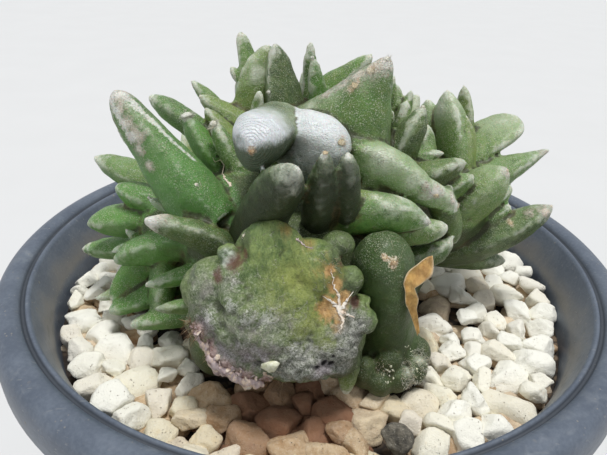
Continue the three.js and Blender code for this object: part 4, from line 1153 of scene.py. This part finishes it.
def basicSkin(w):
    t = skinTones
    fresh, olive, frost = w.value("fresh"), w.value("olive"), w.value("frost")
    along, sky, hollow, aside = w.value("along"), w.value("sky"), w.value("hollow"), w.value("aside")
    bloomAndHighlight, pale, shade = w.value("bloomAndHighlight"), w.value("pale"), w.value("shade")
    broad, medium, fine = w.cloud(5, 4, 0.6), w.cloud(1.3, 5, 0.65), w.cloud(0.3, 3, 0.6)
    blotchy, patchy, grainy = broad - 0.5, medium - 0.5, fine - 0.5
    colour = w.mix(t["deep"], t["fresh"], (fresh + blotchy * 0.9).ramp(0, 1))
    colour = colour.over(t["olive"], (olive + patchy * 1.2).ramp(0.1, 1.2) * 0.75)
    colour = colour.over((0.03, 0.046, 0.02), (broad * 0.5 + medium * 0.6).ramp(0.52, 0.34) * 0.45)
    # Painted shade: darker towards the tubercles' roots and on downward faces
    foot = (along + patchy * 0.5 + sky * 0.15).ramp(0.45, 0.1) * (1 - w.value("growth"))
    colour = colour.over((0.045, 0.06, 0.02), foot * 0.55)
    # Painted shade: the dusk tone on the lower and downward faces of shaded tubercles
    colour = colour.over(t["dusk"], shade * (sky + along * 0.4 + patchy * 0.6).ramp(0.9, 0.1) * 0.85)
    vivid = w.value("hornArea") * (along + blotchy * 0.6).ramp(0.8, 0.35)
    colour = colour.over((0.1, 0.3, 0.055), vivid * (0.3 + medium * 0.4))
    veil = patchy * 0.7 + blotchy * 0.8
    # The film is partly real waxy film and partly painted sheen: upward faces get more, and so do the bloom
    # marks
    filmAndSheen = frost * 0.45 - vivid * 0.3 + sky * 0.2 + along * pale * 0.45 + bloomAndHighlight * 0.9 + veil
    colour = colour.over(t["filmAndSheen"], filmAndSheen.ramp(0.45, 1.5) * 0.75)
    # Frost colour at the bloom marks: partly painted highlight
    colour = colour.over(t["frost"], (bloomAndHighlight + veil).ramp(0.55, 1.1) * 0.6)
    dense = (frost * 0.4 + sky * 0.4 + along * 0.3 + (w.cloud(2.4, 3) - 0.5) * 1.4).ramp(-0.15, 0.6)
    dots = w.cells(0.42).ramp(0.36, 0.18) * dense
    specks = w.cloud(0.16, 2, 0.5).ramp(0.53, 0.63) * dense
    colour = colour.over(t["speck"], (specks * 0.55).most(dots * 0.65) * (1 - shade))
    margins = (aside + patchy * 0.3).ramp(0.86, 1.0) * along.ramp(0.25, 0.8) * pale
    colour = colour.over(t["filmAndSheen"], margins * 0.4)
    tips = (along + patchy * 0.4).ramp(0.8, 0.98) * pale
    tips = tips.most((along + patchy * 0.4).ramp(0.84, 0.96) * pale.ramp(0, 0.5) * (1 - shade * 0.5))
    # Convex edges and ridges get the pale worn colour: partly real pale keels, partly painted highlight
    edges = (0 - hollow + patchy * 0.7 + along * 0.3).ramp(0.8, 1.6) * pale
    wornAndHighlight = w.mix(t["frost"], t["filmAndSheen"], (medium * 0.6 + fine * 0.4).ramp(0.46, 0.64) * 0.6)
    wornAndHighlight = wornAndHighlight.over((0.5, 0.36, 0.24), (fine + blotchy * 0.7).ramp(0.6, 0.72) * 0.5)
    colour = colour.over(wornAndHighlight, tips.most(edges * 0.7) * 0.9)
    cork = (w.value("cork") + patchy * 1.5 + grainy * 0.8).ramp(0.2, 0.8)
    scab = w.mix((0.88, 0.83, 0.73), t["scab"], (fine * 0.7 + medium * 0.4).ramp(0.5, 0.7) * 0.8)
    scab = scab.over((0.76, 0.62, 0.5), broad.ramp(0.45, 0.6) * 0.45)
    colour = colour.over(scab, cork * 0.85)
    chalk = (w.value("chalk") + patchy * 1.4 + grainy * 0.6).ramp(0.3, 0.7)
    colour = colour.over((0.86, 0.86, 0.78), chalk * 0.8)
    earthy = (hollow + patchy * 0.4).ramp(0.05, 0.7) * broad.ramp(0.46, 0.6) * (1 - w.value("growth"))
    colour = colour.over((0.17, 0.1, 0.045), earthy * 0.5)
    # Painted shade: creases and hollows darkened with the hollow tone
    colour = colour.over(t["hollow"], (hollow + patchy * 0.3).ramp(0.25, 1.1) * 0.85)
    rough = 0.34 + medium * 0.2 + cork * 0.35 + tips * 0.2
    height = fine * 0.7 + medium * 0.9 + specks * 0.5 + dots * 0.6 + cork * (fine + medium) * 1.4
    return colour, rough, height, medium, fine


def skinLook(w):
    colour, rough, height, medium, fine = basicSkin(w)
    ringArea, reach, broad = w.value("ringArea"), w.value("ringReach"), w.cloud(5, 4, 0.6)
    rings = (reach * 15 + medium * 15 + broad * 9).sine() * (medium * 0.7 + fine * 0.4).ramp(0.38, 0.6)
    wrinkles = w.value("wrinkleArea")
    folds = w.cloud(0.55, 3, 0.65, 1.2, w.stretch(w.place(), (0.7, 0.7, 2.8)))
    bare = (rings * 0.2 + medium * 0.8 + fine * 0.5 + w.value("bloomAndHighlight") * 0.6 - 0.04).ramp(0.05, 0.85)
    lilac = w.mix((0.2, 0.24, 0.17), (0.88, 0.91, 0.94), bare)
    # Painted shade: the ring dome's downward faces are darkened
    lilac = lilac.over((0.05, 0.08, 0.03), (w.value("sky") + (medium - 0.5) * 0.8).ramp(0.4, -0.2) * 0.95)
    colour = colour.over(lilac, ringArea * (reach + medium * 6).ramp(12.5, 6) * 0.9)
    ash = (folds * 0.7 + medium * 0.4 + w.value("bloomAndHighlight") * 0.4).ramp(0.3, 0.76)
    greyed = w.mix((0.17, 0.2, 0.13), (0.88, 0.91, 0.9), ash)
    # Upward faces of the grey dome get more of the pale grey: partly painted light
    colour = colour.over(greyed, wrinkles * (0.62 + w.value("sky") * 0.5))
    spot = (w.value("areole") + (medium - 0.5) * 1.2 + (fine - 0.5) * 0.8).ramp(0.45, 0.8) * 0.85
    colour = colour.over(w.mix(skinTones["areole"], skinTones["wool"], fine.ramp(0.4, 0.65)), spot)
    height = height + rings * ringArea * 0.6 + folds * wrinkles * 2.4
    return {"Base Color": colour, "Roughness": rough, "Normal": w.bump(height, 0.26, 0.8)}


def scarLook(w):
    colour, rough, height, medium, fine = basicSkin(w)
    growth, m = w.value("growth"), {name: w.value(name) for name in growthMarks}
    spokes = {"X": w.value("spoke") * 0.016, "Y": w.value("reach") * 0.0006}
    streaks = w.cloud(0.8, 5, 0.7, 0.5, w.node("ShaderNodeCombineXYZ", None, spokes))
    broken, lace = w.cloud(0.9, 5, 0.7), w.cloud(0.28, 4, 0.7, 0.8)
    soft, side = w.cloud(3, 3, 0.5), w.cloud(2.5, 2)
    patchy, softer, ragged, streaked = medium - 0.5, soft - 0.5, broken - 0.5, streaks - 0.5
    uneven = ragged * 1.2 + patchy
    push = {0: w.cloudColour(1.4), 1: (1.4 * mm,) * 3, 2: w.place()}
    warped = w.node("ShaderNodeVectorMath", {"operation": "MULTIPLY_ADD"}, push)
    threads = w.cells(1.7, "DISTANCE_TO_EDGE", where=warped).ramp(0.05, 0.012)
    threads = threads * (side + (lace - 0.5) * 0.8).ramp(0.5, 0.62)
    web, blotches = lace * 0.8 + streaks * 0.3, (lace * 0.9 + broken * 0.3).ramp(0.42, 0.8)
    shaded = (medium * 0.6 + fine * 0.4 + w.value("sky") * 0.2).ramp(0.4, 0.75)
    # The glassy bud: partly its own grey-green, partly a painted highlight
    clear = (m["glassAndHighlight"] + patchy * 0.3).ramp(0.35, 0.6)
    fresher = (medium * 0.5 + soft * 0.5 + streaks * 0.3).ramp(0.42, 0.85)
    skin = w.mix((0.055, 0.11, 0.026), (0.21, 0.285, 0.085), fresher)
    darker = w.mix((0.035, 0.05, 0.02), (0.15, 0.2, 0.08), shaded)
    tan = w.mix((0.38, 0.18, 0.05), (0.62, 0.39, 0.16), (streaks * 0.6 + medium * 0.4).ramp(0.35, 0.62))
    grey = w.mix((0.09, 0.12, 0.06), (0.54, 0.55, 0.46), blotches)
    grey = grey.over((0.4, 0.32, 0.36), (side + m["pink"] * 0.4).ramp(0.45, 0.68) * 0.6)
    crusted = w.mix((0.05, 0.06, 0.035), (0.57, 0.56, 0.51), (lace * 0.9 + broken * 0.4).ramp(0.46, 0.84))
    bruise = w.mix((0.16, 0.11, 0.12), (0.62, 0.55, 0.6), blotches)
    glassyAndHighlight = w.mix((0.1, 0.15, 0.07), (0.62, 0.66, 0.56), (soft * 0.5 + medium * 0.6).ramp(0.46, 0.7))
    fleshy = w.mix((0.3, 0.16, 0.13), (0.7, 0.54, 0.5), (lace * 0.5 + broken * 0.5).ramp(0.38, 0.62))
    whitened = m["white"] * (0.9 - m["glassAndHighlight"]) + (lace - 0.5) * 2.0 + uneven * 0.6
    layers = [
        ((0.3, 0.33, 0.075), (m["yellow"] + streaked * 0.9 + softer * 0.8).ramp(0.2, 1.2) * 0.85),
        ((0.34, 0.21, 0.06), (m["orange"] * 0.9 + streaked * 1.2 + softer).ramp(0.3, 1.0) * 0.65),
        (darker, (m["nub"] + patchy * 0.6).ramp(0.25, 0.6) * 0.85),
        ((0.55, 0.57, 0.42), web.ramp(0.54, 0.68) * (0.08 + m["dusty"] * 0.5)),
        ((0.04, 0.06, 0.02), web.ramp(0.52, 0.4) * (0.4 + m["dusty"] * 0.3)),
        ((0.55, 0.56, 0.42), threads * 0.45),
        # Painted shade in the growth's creases
        (skinTones["hollow"], w.value("hollow").ramp(0.3, 1.6) * 0.7),
        (tan, (m["scar"] + uneven * 0.4 + streaked * 0.8).ramp(0.3, 0.65) * 0.9),
        (grey, (m["dusty"] * 0.9 + uneven * 0.8).ramp(0.2, 1.0) * 0.7),
        (crusted, (m["crust"] + uneven * 0.5).ramp(0.25, 0.75) * 0.85),
        ((0.7, 0.7, 0.64), whitened.ramp(0.4, 1.0) * 0.7),
        (bruise, (m["mauve"] + uneven * 0.7).ramp(0.25, 0.9) * 0.65),
        (glassyAndHighlight, clear),
        # Painted shade: the creases are darkened
        ((0.03, 0.035, 0.018), (m["crease"] + ragged * 1.4).ramp(0.35, 0.9) * 0.8),
        (fleshy, (m["pink"] + uneven * 0.6).ramp(0.3, 0.75)),
        # Dark red-brown patches, one on the seam between the bud and the cone
        ((0.13, 0.05, 0.035), (m["redBrown"] + ragged * 0.8).ramp(0.25, 0.7) * 0.85),
        # Painted shade: the pits are darkened nearly to black
        ((0.012, 0.009, 0.008), m["pit"].ramp(0.4, 0.7)),
    ]
    for tone, share in layers:
        skin = skin.over(tone, share)
    crusty = m["crust"].most(m["dusty"])
    rough = (rough + growth * crusty * 0.25) * (1 - clear * 0.65)
    relief = streaks * 1.2 + threads * 0.8 + (broken * 2 + lace * 1.4) * (crusty + 0.25)
    height = height * (1 - growth * 0.5) + growth * (1 - clear) * relief
    return {"Base Color": colour.over(skin, growth), "Roughness": rough, "Normal": w.bump(height, 0.24, 0.8)}


# Dried flake: a thin curled strip of papery skin, from its foot to its upper lobe
flake = {
    "spine": [
        (16.1, -31.9, 11.0, 0.25, 0.9), (15.6, -32.0, 12.8, 0.45, 0.8), (15.0, -32.2, 14.6, 0.5, 0.6),
        (14.5, -32.4, 16.2, 0.6, 0.4), (14.2, -32.6, 17.6, 1.05, 0.2), (13.8, -32.8, 18.9, 0.8, 0.1),
        (13.5, -32.9, 20.0, 0.6, 0.0), (13.9, -32.6, 21.0, 1.45, -0.2), (14.6, -32.3, 22.3, 1.8, -0.3),
        (15.3, -32.1, 23.7, 1.25, -0.4), (15.9, -32.1, 24.9, 0.35, -0.5),
    ],  # x, y, height, half width and turn
    "thickness": 0.22,
    "curl": 0.7,
    "rows": 44,
    "across": 9,
}


def flakeLook(w):
    veins = w.cloud(1.4, 3, 0.6, 0.3, w.stretch(w.place(), (2, 1, 0.8)))
    fine = w.cloud(0.5, 4, 0.6)
    colour = w.mix((0.46, 0.2, 0.035), (0.76, 0.44, 0.12), (veins * 0.7 + fine * 0.4).ramp(0.35, 0.75))
    colour = colour.over((0.86, 0.66, 0.4), (w.value("edge") + (fine - 0.5) * 0.5).ramp(0.65, 1.05) * 0.85)
    return {"Base Color": colour, "Normal": w.bump(veins + fine * 0.6, 0.25, 0.7)}


def makeFlake():
    rows, across = flake["rows"], flake["across"]
    dense = onPath(flake["spine"], np.linspace(0, len(flake["spine"]) - 1, rows))
    for _ in range(3):
        dense[1:-1] = (dense[:-2] + 2 * dense[1:-1] + dense[2:]) / 4
    pts, edge = [], []
    for side in (-1, 1):
        for k, (x, y, h, half, turn) in enumerate(dense):
            for i in range(across):
                v = 2 * i / (across - 1) - 1
                ripple = 0.12 * math.sin(k * 0.9 + v * 2)
                curl = flake["curl"] * v * v * half / 2
                across1, across2 = math.cos(turn) * v * half, math.sin(turn) * v * half
                back = curl + ripple - side * flake["thickness"] / 2
                pts.append((x + across1, y + across2 - back, gravelTop + h + 0.3 * v))
                edge.append(abs(v) ** 2)
    piece = newMesh("paperyFlake", pts, sheetFaces(rows, across), {"edge": edge})
    look = newMaterial("dryPaper", flakeLook, Roughness=0.55, Subsurface_Weight=0.2)
    dress(piece, look, "dried_flake", "dried_flake")


# Wool: felt pads at the tips of each skin, with place, radius and tint
pads = {
    "leftSkin": [
        (-22.8, -6.4, 36.6, 1.4, 0.05), (-17.6, -10.8, 36.6, 1.1, 0.15), (-22, 0.6, 38, 0.4, 0.2),
        (-18.3, -23.1, 30.8, 0.4, 0.1), (-28.5, -15.1, 24.7, 0.4, 0.1),
    ],
    "crownSkin": [
        (3.4, -25.2, 39.2, 0.8, 0.4), (4.8, -15.6, 44.8, 0.7, 0.45), (7.2, -15.2, 46.8, 0.7, 0.3),
        (9.6, -14.6, 48.4, 0.6, 0.1), (0.5, -31.2, 39.8, 0.45, 0.6), (17, -8.8, 40, 0.4, 0.15),
        (22.8, -19, 26.6, 0.5, 0.3), (18.6, -20.4, 29, 0.4, 0.4), (-10.4, -3.4, 40.4, 0.5, 0.1),
        (-1.4, 3.6, 45, 0.4, 0.1), (-8.2, 4, 46.8, 0.4, 0.1), (-9.1, -31.2, 39.3, 0.5, 0.75),
        (36.3, -8, 18.4, 0.45, 0.6), (43.6, -6.6, 21.2, 0.4, 0.2), (33, -9.6, 29.4, 0.4, 0.3),
        (27, -8, 25, 1.1, 0.6),
    ],
    "pillarStem": [
        (10.9, -31.8, 23.4, 0.6, 0.7), (9.6, -32, 24.4, 0.35, 0.5),
    ],
    "frontGrowth": [
        (-9.6, -31.7, 26.8, 0.4, 0.2),
    ],
}
# Hairs: skin, place, reach, length, count and tint
hair = {
    "seed": 31,
    "width": 0.035,
    "perPad": 90,  # hairs for each millimetre of a pad's radius
    "tufts": [
        ("pillarStem", (15.5, -33, 3.4), 2.6, 0.8, 260, 0.2),
        ("pillarStem", (17.4, -30.8, 4.2), 2.4, 0.9, 200, 0.15),
        ("pillarStem", (10.6, -33.4, 5.2), 1.4, 0.6, 70, 0.3),
        ("frontGrowth", (-17, -35.6, 14.4), 1.9, 2.0, 90, 0.95),
        ("frontGrowth", (-14.8, -37.4, 10.6), 1.2, 1.4, 40, 0.8),
        ("frontGrowth", (-6, -38, 8.6), 2.4, 1.8, 60, 0.85),
        ("frontGrowth", (2, -34.6, 24.6), 0.9, 0.6, 30, 0.6),
    ],
}


def padShell(skin, place, radius, ball, random):
    place, out = onSkin(skin, *place)
    uneven = 0.25 * grain(ball, 0.8, random.uniform(0, 60)) + 0.2 * grain(ball, 0.3, random.uniform(0, 60))
    flat = Vector(out).to_track_quat("Z", "Y").to_matrix()
    sizes = (radius * 0.8, radius * random.uniform(0.5, 0.75), radius * 0.35)
    return ball * (1 + uneven)[:, None] * sizes @ np.array(flat).T + place - out * 0.05


def hairShell(base, way, length, width):
    bend = way[::-1] * 0.3 * length
    first = unit(np.cross(way, (0.31, 0.87, 0.39)))
    second = np.cross(way, first)
    rings = []
    for t in (0, 0.35, 0.7):
        middle = base + way * length * t + bend * t * t
        angles = np.array([0, 2.1, 4.2])[:, None]
        rings.append(middle + width * (1 - 0.7 * t) * (np.cos(angles) * first + np.sin(angles) * second))
    return tube(rings, base, base + way * length + bend)


def makeHair():
    random = np.random.default_rng(hair["seed"])
    shells, tint = [], []
    ball, faces = roundBall(3)
    fluff = []
    for skin, rows in pads.items():
        for *place, radius, colour in rows:
            shells.append((padShell(skin, place, radius, ball, random), faces))
            tint.append(np.full(len(ball), colour))
            fluff.append((skin, place, radius, radius, int(hair["perPad"] * radius), colour))
    for skin, place, radius, length, count, colour in hair["tufts"] + fluff:
        centre, normal = onSkin(skin, *place)
        first = unit(np.cross(normal, (0.3, 1, 0.2)))
        second = np.cross(normal, first)
        for _ in range(count):
            angle, reach = random.uniform(0, 2 * math.pi), radius * math.sqrt(random.uniform())
            foot = centre + reach * (math.cos(angle) * first + math.sin(angle) * second)
            foot, out = onSkin(skin, foot[0], foot[1], foot[2] - gravelTop)
            way = unit(out + random.normal(size=3) * 0.55)
            shells.append(hairShell(foot - out * 0.1, way, length * random.uniform(0.5, 1.1), hair["width"]))
            tint.append(np.full(len(shells[-1][0]), np.clip(colour + random.normal() * 0.12, 0, 1)))
    pts, faces = merge(shells)
    piece = newMesh("woolHairs", pts, faces, {"tint": np.concatenate(tint)})
    dress(piece, newMaterial("wool", woolLook, Roughness=0.8), "cactus")


def woolLook(w):
    tint, cloud, fine = w.value("tint"), w.cloud(0.5, 3), w.cloud(0.14, 3, 0.6)
    clouded = tint + (cloud - 0.5) * 0.5
    colour = w.mix((0.84, 0.84, 0.76), (0.82, 0.68, 0.44), clouded.ramp(0, 0.5))
    colour = colour.over((0.42, 0.22, 0.1), clouded.ramp(0.5, 0.9))
    colour = colour.over((0.12, 0.06, 0.03), tint.ramp(0.85, 1))
    colour = colour.over((0.3, 0.3, 0.2), fine.ramp(0.5, 0.35) * 0.6)
    return {"Base Color": colour, "Normal": w.bump(fine + cloud, 0.2)}


# Torn skin: ribbons with their skin, path, width and tint, curtains with start, end, drop and seed on the
# fringe's line, and flecks with place and reach
tear = (3.5, -37, 18.8)  # where the ribbons in the scar meet
torn = {
    "ribbons": [
        ("frontGrowth", [tear, (3.5, -36.4, 20.4), (2.7, -36, 22.2), (1.9, -35.6, 24.4)], 0.26, 0.2),
        ("frontGrowth", [tear, (2.4, -36.7, 19.6), (1.2, -36.5, 20.4)], 0.38, 0.1),
        ("frontGrowth", [tear, (4.6, -36.4, 19.4), (5.8, -35.6, 20)], 0.36, 0.1),
        ("frontGrowth", [tear, (3.8, -37.4, 17.6), (3.2, -38, 15.8)], 0.42, 0.2),
        ("frontGrowth", [tear, (4.6, -36.9, 18), (5.4, -36.6, 17)], 0.3, 0.25),
        ("frontGrowth", [(-2.8, -34, 28), (-1.6, -34.1, 27.6), (-0.6, -34.2, 26.8)], 0.16, 0.6),
        (
            "leftSkin",
            [(-13.8, -18.1, 28.6), (-15.2, -16, 29), (-16.4, -13.6, 29.8), (-17.7, -11.3, 30.6)],
            0.26,
            0.3,
        ),
        (
            "frontGrowth",
            [(-7, -40.8, 10.4), (-6.4, -41.2, 9.2), (-5.8, -41.4, 8.6), (-5.4, -41, 9.4)],
            0.3,
            0.35,
        ),
    ],
    "fringe": [
        (-16.9, -36.8, 14.6), (-16, -37.6, 12.6), (-14.6, -38.4, 11.4), (-12.8, -39.6, 10.4),
        (-11, -40.2, 9.4), (-9, -40.4, 8.6), (-7, -40, 8.2),
    ],
    "scraps": 60,
    "thickness": 0.09,
    "curtainGrid": (8, 64),
    "curtains": [
        (0, 0.62, 2.9, 11), (0.2, 0.85, 2, 23), (0.55, 1, 2.6, 37), (0.05, 0.4, 1.8, 51),
        (0.35, 0.75, 3.2, 67),
    ],
    "flecks": [
        (15.6, -33, 3.6, 2.2), (17.6, -31, 4.6, 1.8), (16.4, -32.6, 6.4, 1.4), (12.4, -34.2, 4.4, 1.2),
    ],
    "flecksEach": 12,
    "fleckSizes": (0.08, 0.24),
    "chunk": (-5.9, -41.2, 12.4),  # a cream grain that sticks to the growth
    "seed": 8,
}


def ribbonShell(skin, path, width, random):
    steps = 8 * (len(path) - 1) + 1
    line = onPath(path, np.linspace(0, len(path) - 1, steps))
    line += random.normal(size=line.shape) * 0.1
    placed = [onSkin(skin, *place) for place in line]
    centres = np.array([place + out * 0.05 for place, out in placed])
    rings = []
    for k in range(steps):
        way = unit(centres[min(k + 1, steps - 1)] - centres[max(k - 1, 0)])
        out = placed[k][1]
        side = unit(np.cross(way, out))
        half = width * (1 - (k + 0.2) / steps) ** 0.7 * random.uniform(0.5, 1.3)
        angles = np.arange(6)[:, None] * math.pi / 3
        rings.append(centres[k] + half * np.cos(angles) * side + 0.05 * np.sin(angles) * out)
    return tube(rings, centres[0], centres[-1])


def sheetShell(grid, thickness):
    rows, columns = grid.shape[:2]
    wide, high = np.gradient(grid, axis=1), np.gradient(grid, axis=0)
    out = np.cross(wide, high)
    out *= thickness / np.linalg.norm(out, axis=2)[..., None]
    pts = np.concatenate([grid.reshape(-1, 3), (grid - out).reshape(-1, 3)])
    return pts, sheetFaces(rows, columns)


# A curtain of torn skin that hangs from a line on the growth, longest at its tatters
def curtainShell(path, start, end, drop, seed):
    rows, columns = torn["curtainGrid"]
    line = onPath(path, np.linspace(start, end, columns) * (len(path) - 1))
    line[:, 2] += 0.5 * grain(line, 1.5, seed)
    placed = [onSkin("frontGrowth", *place) for place in line]
    tatter = 0.6 + 0.6 * grain(line, 1.5, seed + 1) + 0.22 * grain(line, 0.5, seed + 2)
    tatter = np.clip(tatter, 0.12, 1.3) * np.sin(np.linspace(0.15, np.pi - 0.15, columns)) ** 0.5
    wave = 0.45 * grain(line, 0.9, seed + 3) + 0.25 * grain(line, 0.4, seed + 4)
    grid = []
    for k in range(rows):
        t = k / (rows - 1)
        row = []
        for i, (place, out) in enumerate(placed):
            flat = unit(out * (1, 1, 0.3))
            lift = 0.1 + t * (0.1 + wave[i]) + 0.2 * math.sin(3 * t)
            row.append(place + flat * lift - np.array([0, 0, drop * tatter[i] * t]))
        grid.append(row)
    grid = np.array(grid)
    shake = 0.12 * grain(grid.reshape(-1, 3), 0.5, seed + 5).reshape(rows, columns)
    return sheetShell(grid + shake[..., None] * np.array([0.5, -1, 0.3]), torn["thickness"])


def raggedBall(ball, depth, width, random):
    return ball * (1 + depth * grain(ball, width, random.uniform(0, 50)))[:, None]


def makeTorn():
    random = np.random.default_rng(torn["seed"])
    shells, tint = [], []
    for skin, path, width, colour in torn["ribbons"]:
        shells.append(ribbonShell(skin, path, width, random))
        tint.append(np.full(len(shells[-1][0]), colour))
    for start, end, drop, seed in torn["curtains"]:
        shells.append(curtainShell(torn["fringe"], start, end, drop, seed))
        tint.append(0.5 + 0.45 * grain(shells[-1][0], 1.2, seed + 6))
    ball, faces = roundBall(2)
    fringe = torn["fringe"]
    for _ in range(torn["scraps"]):
        place = onPath(fringe, random.uniform() ** 1.3 * (len(fringe) - 1))
        place, out = onSkin("frontGrowth", *(place + random.normal(size=3) * 0.6))
        facing = unit(out + random.normal(size=3) * 0.5)
        down = unit(np.cross(np.cross(facing, (0, 0, -1)), facing) + random.normal(size=3) * 0.3)
        aside = unit(np.cross(down, facing))
        size = 0.25 + 0.5 * random.uniform() ** 2
        sheet = raggedBall(ball, 0.6, 0.9, random) * (size, size * random.uniform(0.4, 0.8), 0.12)
        shells.append((sheet @ np.array([down, aside, facing]) + place + out * 0.1, faces))
        tint.append(np.full(len(ball), random.uniform(0.2, 1)))
    for x, y, h, reach in torn["flecks"]:
        for _ in range(torn["flecksEach"]):
            place, out = onSkin("pillarStem", *(np.array([x, y, h]) + random.normal(size=3) * reach * 0.6))
            facing = unit(out + random.normal(size=3) * 0.6)
            down = unit(np.cross(facing, random.normal(size=3)))
            size = random.uniform(*torn["fleckSizes"])
            fleck = raggedBall(ball, 0.9, 0.7, random) * (size, size * 0.7, 0.05)
            fleck = fleck @ np.array([down, np.cross(facing, down), facing])
            shells.append((fleck + place + out * 0.05, faces))
            tint.append(np.full(len(ball), -random.uniform(0.3, 1)))
    pts, allFaces = merge(shells)
    piece = newMesh("tornSkin", pts, allFaces, {"tint": np.concatenate(tint)})
    dress(piece, newMaterial("tornEdge", tornLook, Roughness=0.6, Subsurface_Weight=0.1), "cactus")
    chunk = stoneShape(random, ball, 7) * (1.5, 0.7, 1.0)
    place, out = onSkin("frontGrowth", *torn["chunk"])
    grit = newMesh("creamGrain", chunk + place + out * 0.35, faces)
    dress(grit, newMaterial("creamGrain", grainLook, Roughness=0.8), "cactus")


def tornLook(w):
    tint, cloud = w.value("tint"), w.cloud(0.5, 4, 0.6)
    colour = w.mix((0.9, 0.84, 0.74), (0.8, 0.6, 0.42), (tint + (cloud - 0.5)).ramp(0, 0.5))
    colour = colour.over((0.6, 0.48, 0.47), (tint + (cloud - 0.5) * 0.8).ramp(0.3, 0.6))
    colour = colour.over((0.26, 0.16, 0.14), (tint + (w.cloud(1.4, 2) - 0.5) * 2).ramp(0.6, 1.1) * 0.85)
    colour = colour.over((0.6, 0.62, 0.4), (0 - tint).ramp(0.1, 0.6) * (0.5 + cloud * 0.5))
    return {"Base Color": colour, "Normal": w.bump(cloud, 0.2)}


def grainLook(w):
    cloud = w.cloud(0.6, 4, 0.6)
    colour = w.mix((0.62, 0.62, 0.4), (0.85, 0.84, 0.68), cloud.ramp(0.35, 0.65))
    return {"Base Color": colour, "Normal": w.bump(cloud, 0.3)}


# Floor, light and background
studio = {
    "floor": (0.6, 0.6, 0.595),
    "floorSize": 6000,
    "floorWarm": (0.63, 0.63, 0.625),
    "sky": (0.93, 0.96, 1, 1),
    "skyStrength": 0.57,
    "sun": 2.55,
    "softness": 14,  # degrees across
    "from": (0.12, -0.05, 1),
    "fill": 0.4,
    "fillSize": 0.6,
    "fillFrom": (-0.3, -0.6, 0.45),
    "fillTo": (0, 0, 0.1),
}


def addLight(name, kind, facing, **settings):
    data = bpy.data.lights.new(name, kind)
    for key, value in settings.items():
        setattr(data, key, value)
    light = addObject(name, data)
    light.rotation_euler = facing.to_track_quat("Z", "Y").to_euler()
    return light


def floorLook(w):
    cloud = w.cloud(60, 2)
    return {"Base Color": w.mix(studio["floor"], studio["floorWarm"], cloud)}


def makeStudio():
    s, size = studio, studio["floorSize"] / 2
    corners = [(-size, -size, 0), (size, -size, 0), (size, size, 0), (-size, size, 0)]
    floor = newMesh("floor", corners, [[0, 1, 2, 3]])
    floor.data.materials.append(newMaterial("paleFloor", floorLook, Roughness=0.9))
    world = bpy.data.worlds.new("studio")
    world.use_nodes = True
    background = world.node_tree.nodes["Background"]
    background.inputs["Color"].default_value = s["sky"]
    background.inputs["Strength"].default_value = s["skyStrength"]
    bpy.context.scene.world = world
    addLight("sun", "SUN", Vector(s["from"]), energy=s["sun"], angle=math.radians(s["softness"]))
    place = Vector(s["fillFrom"])
    facing = place - Vector(s["fillTo"])
    addLight("fill", "AREA", facing, shape="DISK", size=s["fillSize"], energy=s["fill"]).location = place
    bpy.context.scene.view_settings.view_transform = "Standard"


makeCamera()
print("camera placed")
makeStudio()
makePot()
dressSoil()
print("pot and soil made")
makeGravel()
makeBed()
makeDarkStone()
print("gravel made")
makePlant()
print("plant made")
makeFlake()
makeHair()
makeTorn()
print("flake, wool and torn skin made")
